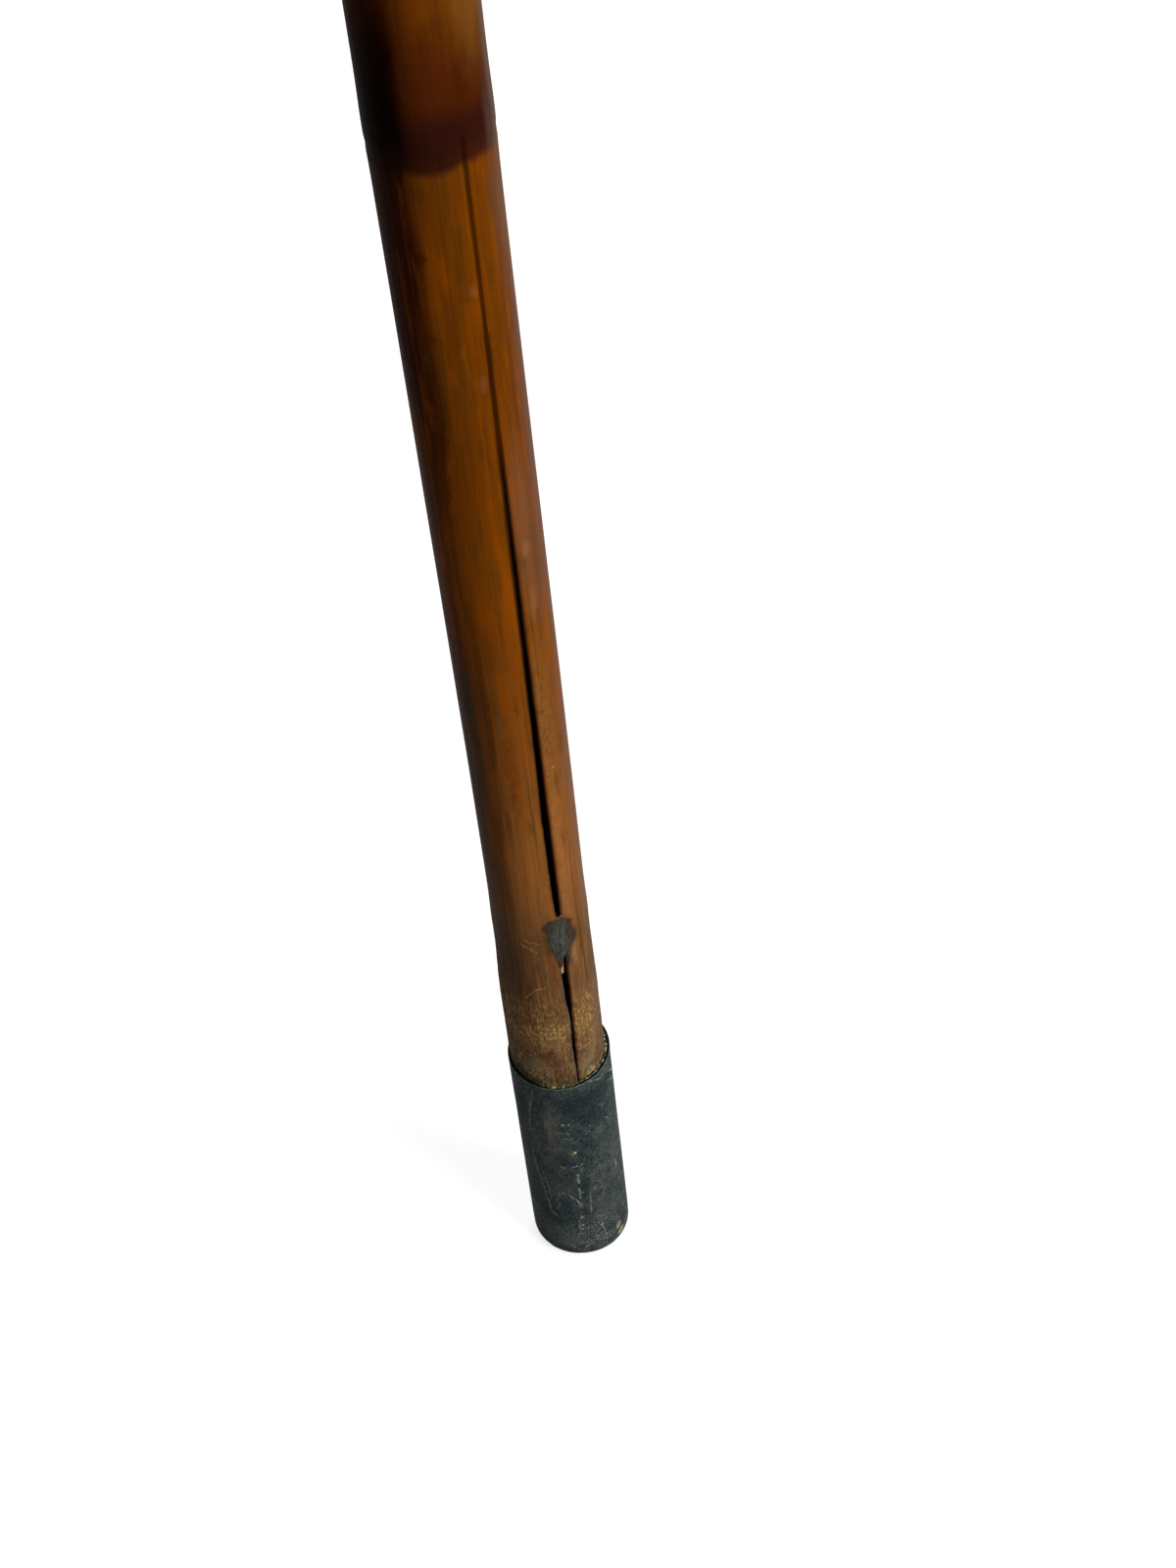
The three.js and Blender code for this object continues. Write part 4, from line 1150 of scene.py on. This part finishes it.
wood = Finish("rubbed_hardwood")
long_grain = wood.speckle(0.5, 9, 5, 0.65, 2)
drift = wood.vector("MULTIPLY", wood.speckle(14, 60, shift=12, output="Color"), (22, 10, 0))
wavy = wood.vector("ADD", wood.vector("MULTIPLY", wood.place, (1, 0.45, 0.05)), drift)
figure = wood.node("ShaderNodeTexWave", {"Vector": wavy, "Scale": 0.16, "Distortion": 4, "Detail": 4,
                                         "Detail Scale": 0.5, "Detail Roughness": 0.65})["Fac"]
open_pores = wood.fade(wood.speckle(0.16, 2.2, shift=8), 0.63, 0.7)
handled = wood.fade(wood.height, ball_centre - 4, ball_centre + 16)
depth_in = wood.vector("LENGTH", wood.vector("MULTIPLY", wood.place, (1, 1, 0)), output="Value")
in_band = wood.between(wood.height, band_bottom - 2.5, band_top + 2.5, 0.3)
recess = wood.times(in_band, wood.fade(depth_in, band_radius - 0.15, band_radius - 1))
rub = wood.fade(wood.speckle(1.6, 1.6, 4, shift=7), 0.3, 0.62, 0.15, 0.75)
wood.colour = wood.mix(wood.fade(figure, 0.2, 0.9), (46, 26, 17), (74, 42, 25))
wood.grain(long_grain, 0.46, 0.68, 0.75, (28, 15, 11))
wood.lay(0.8, (16, 9, 7), open_pores)
wood.grain(wood.speckle(9, 9, 3, shift=4), 0.35, 0.65, 0.45, (104, 62, 36), handled)
wood.lay(0.7, (20, 11, 8), recess)
wood.grain(depth_in, band_radius - 0.22, band_radius - 0.02, 1, (112, 70, 42), in_band, rub)
wood.surface(Roughness=wood.plus(wood.fade(long_grain, 0.3, 0.7, 0.46, 0.58), wood.times(recess, 0.2)),
             Specular_IOR_Level=0.03, Normal=wood.bump(long_grain, 0.05, Normal=wood.bump(open_pores, -0.08)))
knob_faces = grid_faces(len(knob_outline), knob_columns)
body_mesh = mesh_of("turned_knob", on_surface(radius, degrees, height), knob_faces, wood.material)

row_height = band_height / chip_rows
chip_half = math.pi * band_radius / chips_around - chip_ridge
steps, given, inputs = recipe(
    "chip_carving", "Turned Knob", "Carved Knob", Band_Radius=band_radius * MM, Band_Bottom=band_bottom * MM,
    Row_Height=row_height * MM, Rows=chip_rows, Chips_Around=chips_around, Chip_Half_Width=chip_half * MM,
    Chip_Height=(row_height - 2 * chip_margin) * MM, Chip_Depth=chip_depth * MM, Seed=chip_seed)
in_row = steps.times(given["Chips Around"], 2)
number = steps.node("GeometryNodeInputIndex")[0]
row = steps.math("FLOOR", steps.math("DIVIDE", steps.plus(number, 0.5), in_row))
along_row = steps.minus(number, steps.times(row, in_row))
unsteady = three_random(steps, -1, 1, given["Seed"])
slip_round, slip_up, slip_deep = steps.node("ShaderNodeSeparateXYZ", {0: unsteady})
turn = steps.times(along_row, steps.math("DIVIDE", 2 * math.pi, in_row))
turn = steps.plus(turn, steps.times(slip_round, slip_turn))
row_middle = steps.plus(steps.times(steps.plus(row, 0.5), given["Row Height"]), given["Band Bottom"])
chip_middle = steps.plus(row_middle, steps.times(slip_up, slip_rise * MM))
spots = steps.joined(steps.times(steps.math("SINE", turn), given["Band Radius"]),
                     steps.times(steps.math("COSINE", turn), given["Band Radius"], -1), chip_middle)
marks = steps.node("GeometryNodePoints", {"Count": steps.times(in_row, given["Rows"]), "Position": spots})[0]
flip = steps.times(steps.math("MODULO", along_row, 2), math.pi)
facing = steps.node("FunctionNodeEulerToRotation", {0: steps.joined(0, flip, turn)})[0]
blade = steps.node("GeometryNodeMeshCone", {"Vertices": 3, "Radius Top": 0, "Radius Bottom": 1, "Depth": 1})["Mesh"]
blade_x, blade_y, blade_z = steps.node("ShaderNodeSeparateXYZ", {0: steps.node("GeometryNodeInputPosition")[0]})
widening = steps.times(steps.minus(1, blade_z), chip_reach)
deep_point = steps.times(given["Chip Height"], -chip_point)
level = steps.minus(steps.math("DIVIDE", steps.plus(blade_x, 0.5), 1.5), 0.5)
level = steps.minus(steps.times(level, given["Chip Height"]), deep_point)
half_width = steps.times(given["Chip Half Width"], steps.math("DIVIDE", blade_y, math.sqrt(0.75)))
curve_drop = steps.math("DIVIDE", steps.times(half_width, half_width), steps.times(given["Band Radius"], 2))
blade_in = steps.times(widening, steps.minus(curve_drop, given["Chip Depth"]))
blade_points = steps.joined(steps.times(widening, half_width), steps.plus(given["Chip Depth"], blade_in),
                            steps.plus(deep_point, steps.times(widening, level)))
blade = steps.node("GeometryNodeSetPosition", {"Geometry": blade, "Position": blade_points})[0]
uneven = steps.joined(1, steps.plus(1, steps.times(slip_deep, slip_depth)), 1)
cuts = strewn(steps, marks, blade, facing, uneven)
carved = steps.node("GeometryNodeMeshBoolean", {"Mesh 1": given["Turned Knob"], "Mesh 2": cuts},
                    operation="DIFFERENCE", solver="MANIFOLD")["Mesh"]
carved_mesh = grown("carved_knob", body_mesh, steps, carved, inputs)
carved_mesh.set_sharp_from_angle(angle=math.radians(25))
piece(carved_mesh, "knob")

# The collar
# A band of the same thin blackened metal, slipped over the joint between the culm and the knob.
collar_low, collar_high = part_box("collar")
collar_radius = collar_high.x / MM
collar_bottom = collar_low.z / MM
collar_bore = top_radius + 0.1
collar_dent = 0.06
collar_strokes = [(20, 806, 34, 798, 0.4, 0.7), (-60, 793, -42, 795, 0.36, 0.6), (140, 805, 152, 799, 0.36, 0.6)]
collar_rubs = [(5, 803, -2, 790, 6, 0.6), (100, 800, 110, 792, 6, 0.5), (-120, 806, -126, 790, 5, 0.5)]
collar_flecks = [(-15, 800, 0.6, 0.6)]
worn_edges = [(edge, 0.7, 0.3, (150, 146, 128)) for edge in (collar_top, collar_bottom)]
collar_black = blackened("blackened_collar", collar_radius, collar_strokes, collar_rubs, collar_flecks, worn_edges)
collar_outline = (
    [(collar_bore, collar_bottom + 0.1), (collar_bore + 0.1, collar_bottom)]
    + arc_points(collar_radius - rim_edge, collar_bottom + rim_edge, rim_edge, -90, 0, 3)
    + straight((collar_radius, collar_bottom + 0.6), (collar_radius, collar_top - rim_edge), 0.6)
    + arc_points(collar_radius - rim_edge, collar_top - rim_edge, rim_edge, 0, 90, 3)
    + [(collar_bore + 0.1, collar_top), (collar_bore, collar_top - 0.1), (collar_bore, collar_bottom + 0.1)])
radius, degrees, height, bare = turned(collar_outline, metal_columns)
away = np.minimum(height - collar_bottom, collar_top - height)
dents = collar_dent * np.clip(lumps(bare, 7, 7, 60), 0, 1) * smooth(away, 0.3, 3)
radius = np.where(radius > collar_bore + 0.2, radius - dents, radius)
collar_faces = grid_faces(len(collar_outline), metal_columns)
piece(mesh_of("pinned_collar", on_surface(radius, degrees, height), collar_faces, collar_black),
      "collar")

# The collar's pins
# Two brass pins like the ferrule's, on opposite sides: the lower one holds the collar to the culm, the upper one to
# the knob.
pin_head("lower_pin_head", "collar_pin_lower", 150, collar_radius, -0.03)
pin_head("upper_pin_head", "collar_pin_upper", -30, collar_radius, -0.03)

# The ground
# A wide pale sheet that the tip rests on, in a plain pale room. It shows white to the eye and in reflections and
# keeps the cane's soft shadow, but throws little light back on the cane, whose far side is dark in the photograph.
ground_half = 4.0
ground_colour = (0.3, 0.3, 0.3, 1.0)
ground_glow = 0.78
room_light = (0.1, 0.1, 0.105, 1.0)
white = (1.0, 1.0, 1.0, 1.0)


def seen_or_mirrored(nodes):
    """One for what the camera sees, straight or by way of metal or glass."""
    rays = nodes.node("ShaderNodeLightPath")
    return nodes.math("MAXIMUM", rays["Is Camera Ray"], rays["Is Glossy Ray"], rays["Is Transmission Ray"])


ground_mesh = bpy.data.meshes.new("ground")
corners = [(x * ground_half, y * ground_half, 0) for x, y in ((-1, -1), (1, -1), (1, 1), (-1, 1))]
ground_mesh.from_pydata(corners, [], [(0, 1, 2, 3)])
ground = bpy.data.objects.new("ground", ground_mesh)
scene.collection.objects.link(ground)
pale = Finish("pale_ground")
pale.colour = ground_colour
far_off = pale.fade(pale.vector("LENGTH", pale.place, output="Value"), 500, 2200, ground_glow, 1)
pale.surface(Roughness=1.0, Specular_IOR_Level=0.0, Emission_Color=white,
             Emission_Strength=pale.times(seen_or_mirrored(pale), far_off))
ground_mesh.materials.append(pale.material)

scene.world = bpy.data.worlds.new("pale_room")
scene.world.use_nodes = True
room = Nodes(scene.world.node_tree)
shown = room.node("ShaderNodeMix", {0: seen_or_mirrored(room), 6: room_light, 7: white}, data_type="RGBA")[2]
room.feed(room.tree.nodes["Background"].inputs["Color"], shown)

# The lamps
# One broad soft lamp to the right of the camera lights the cane's right side, as in the photograph. A second one
# behind the cane lights the back, which the photograph doesn't show.
lamp_target = Vector((0.0, 0.0, 0.4))


def aimed(place, away):
    """Stands a lamp or a camera at a place, with its back to the direction away."""
    return Matrix.Translation(place) @ (-away).to_track_quat("-Z", "Y").to_matrix().to_4x4()


def studio_lamp(name, direction, elevation, distance, size, power):
    turn = math.radians(direction)
    lift = math.radians(elevation)
    away = Vector((math.sin(turn) * math.cos(lift), -math.cos(turn) * math.cos(lift), math.sin(lift)))
    lamp = bpy.data.lights.new(name, "AREA")
    lamp.size = size
    lamp.energy = power
    stand = bpy.data.objects.new(name, lamp)
    stand.matrix_world = aimed(lamp_target + away * distance, away)
    scene.collection.objects.link(stand)


studio_lamp("key_lamp", 52.0, 35.0, 3.0, 1.3, 108.0)
studio_lamp("back_lamp", 176.0, 45.0, 3.0, 2.0, 80.0)

# The camera
# It stands above and in front of the cane's foot and looks down at it, a little turned, so that only the lowest
# 310 mm or so show and the ground is all that is behind them.
camera_place = Vector((0.0, -0.33385, 0.54157))
camera_aim = Vector((0.01171, 0.0, 0.14207))
camera_roll = math.radians(-6.388)
camera_data = bpy.data.cameras.new("photo_camera")
camera_data.lens = 67.5
camera_data.sensor_width = 36.0
camera = bpy.data.objects.new("photo_camera", camera_data)
camera.matrix_world = aimed(camera_place, camera_place - camera_aim) @ Matrix.Rotation(camera_roll, 4, "Z")
scene.collection.objects.link(camera)
scene.camera = camera
scene.view_settings.view_transform = "Standard"
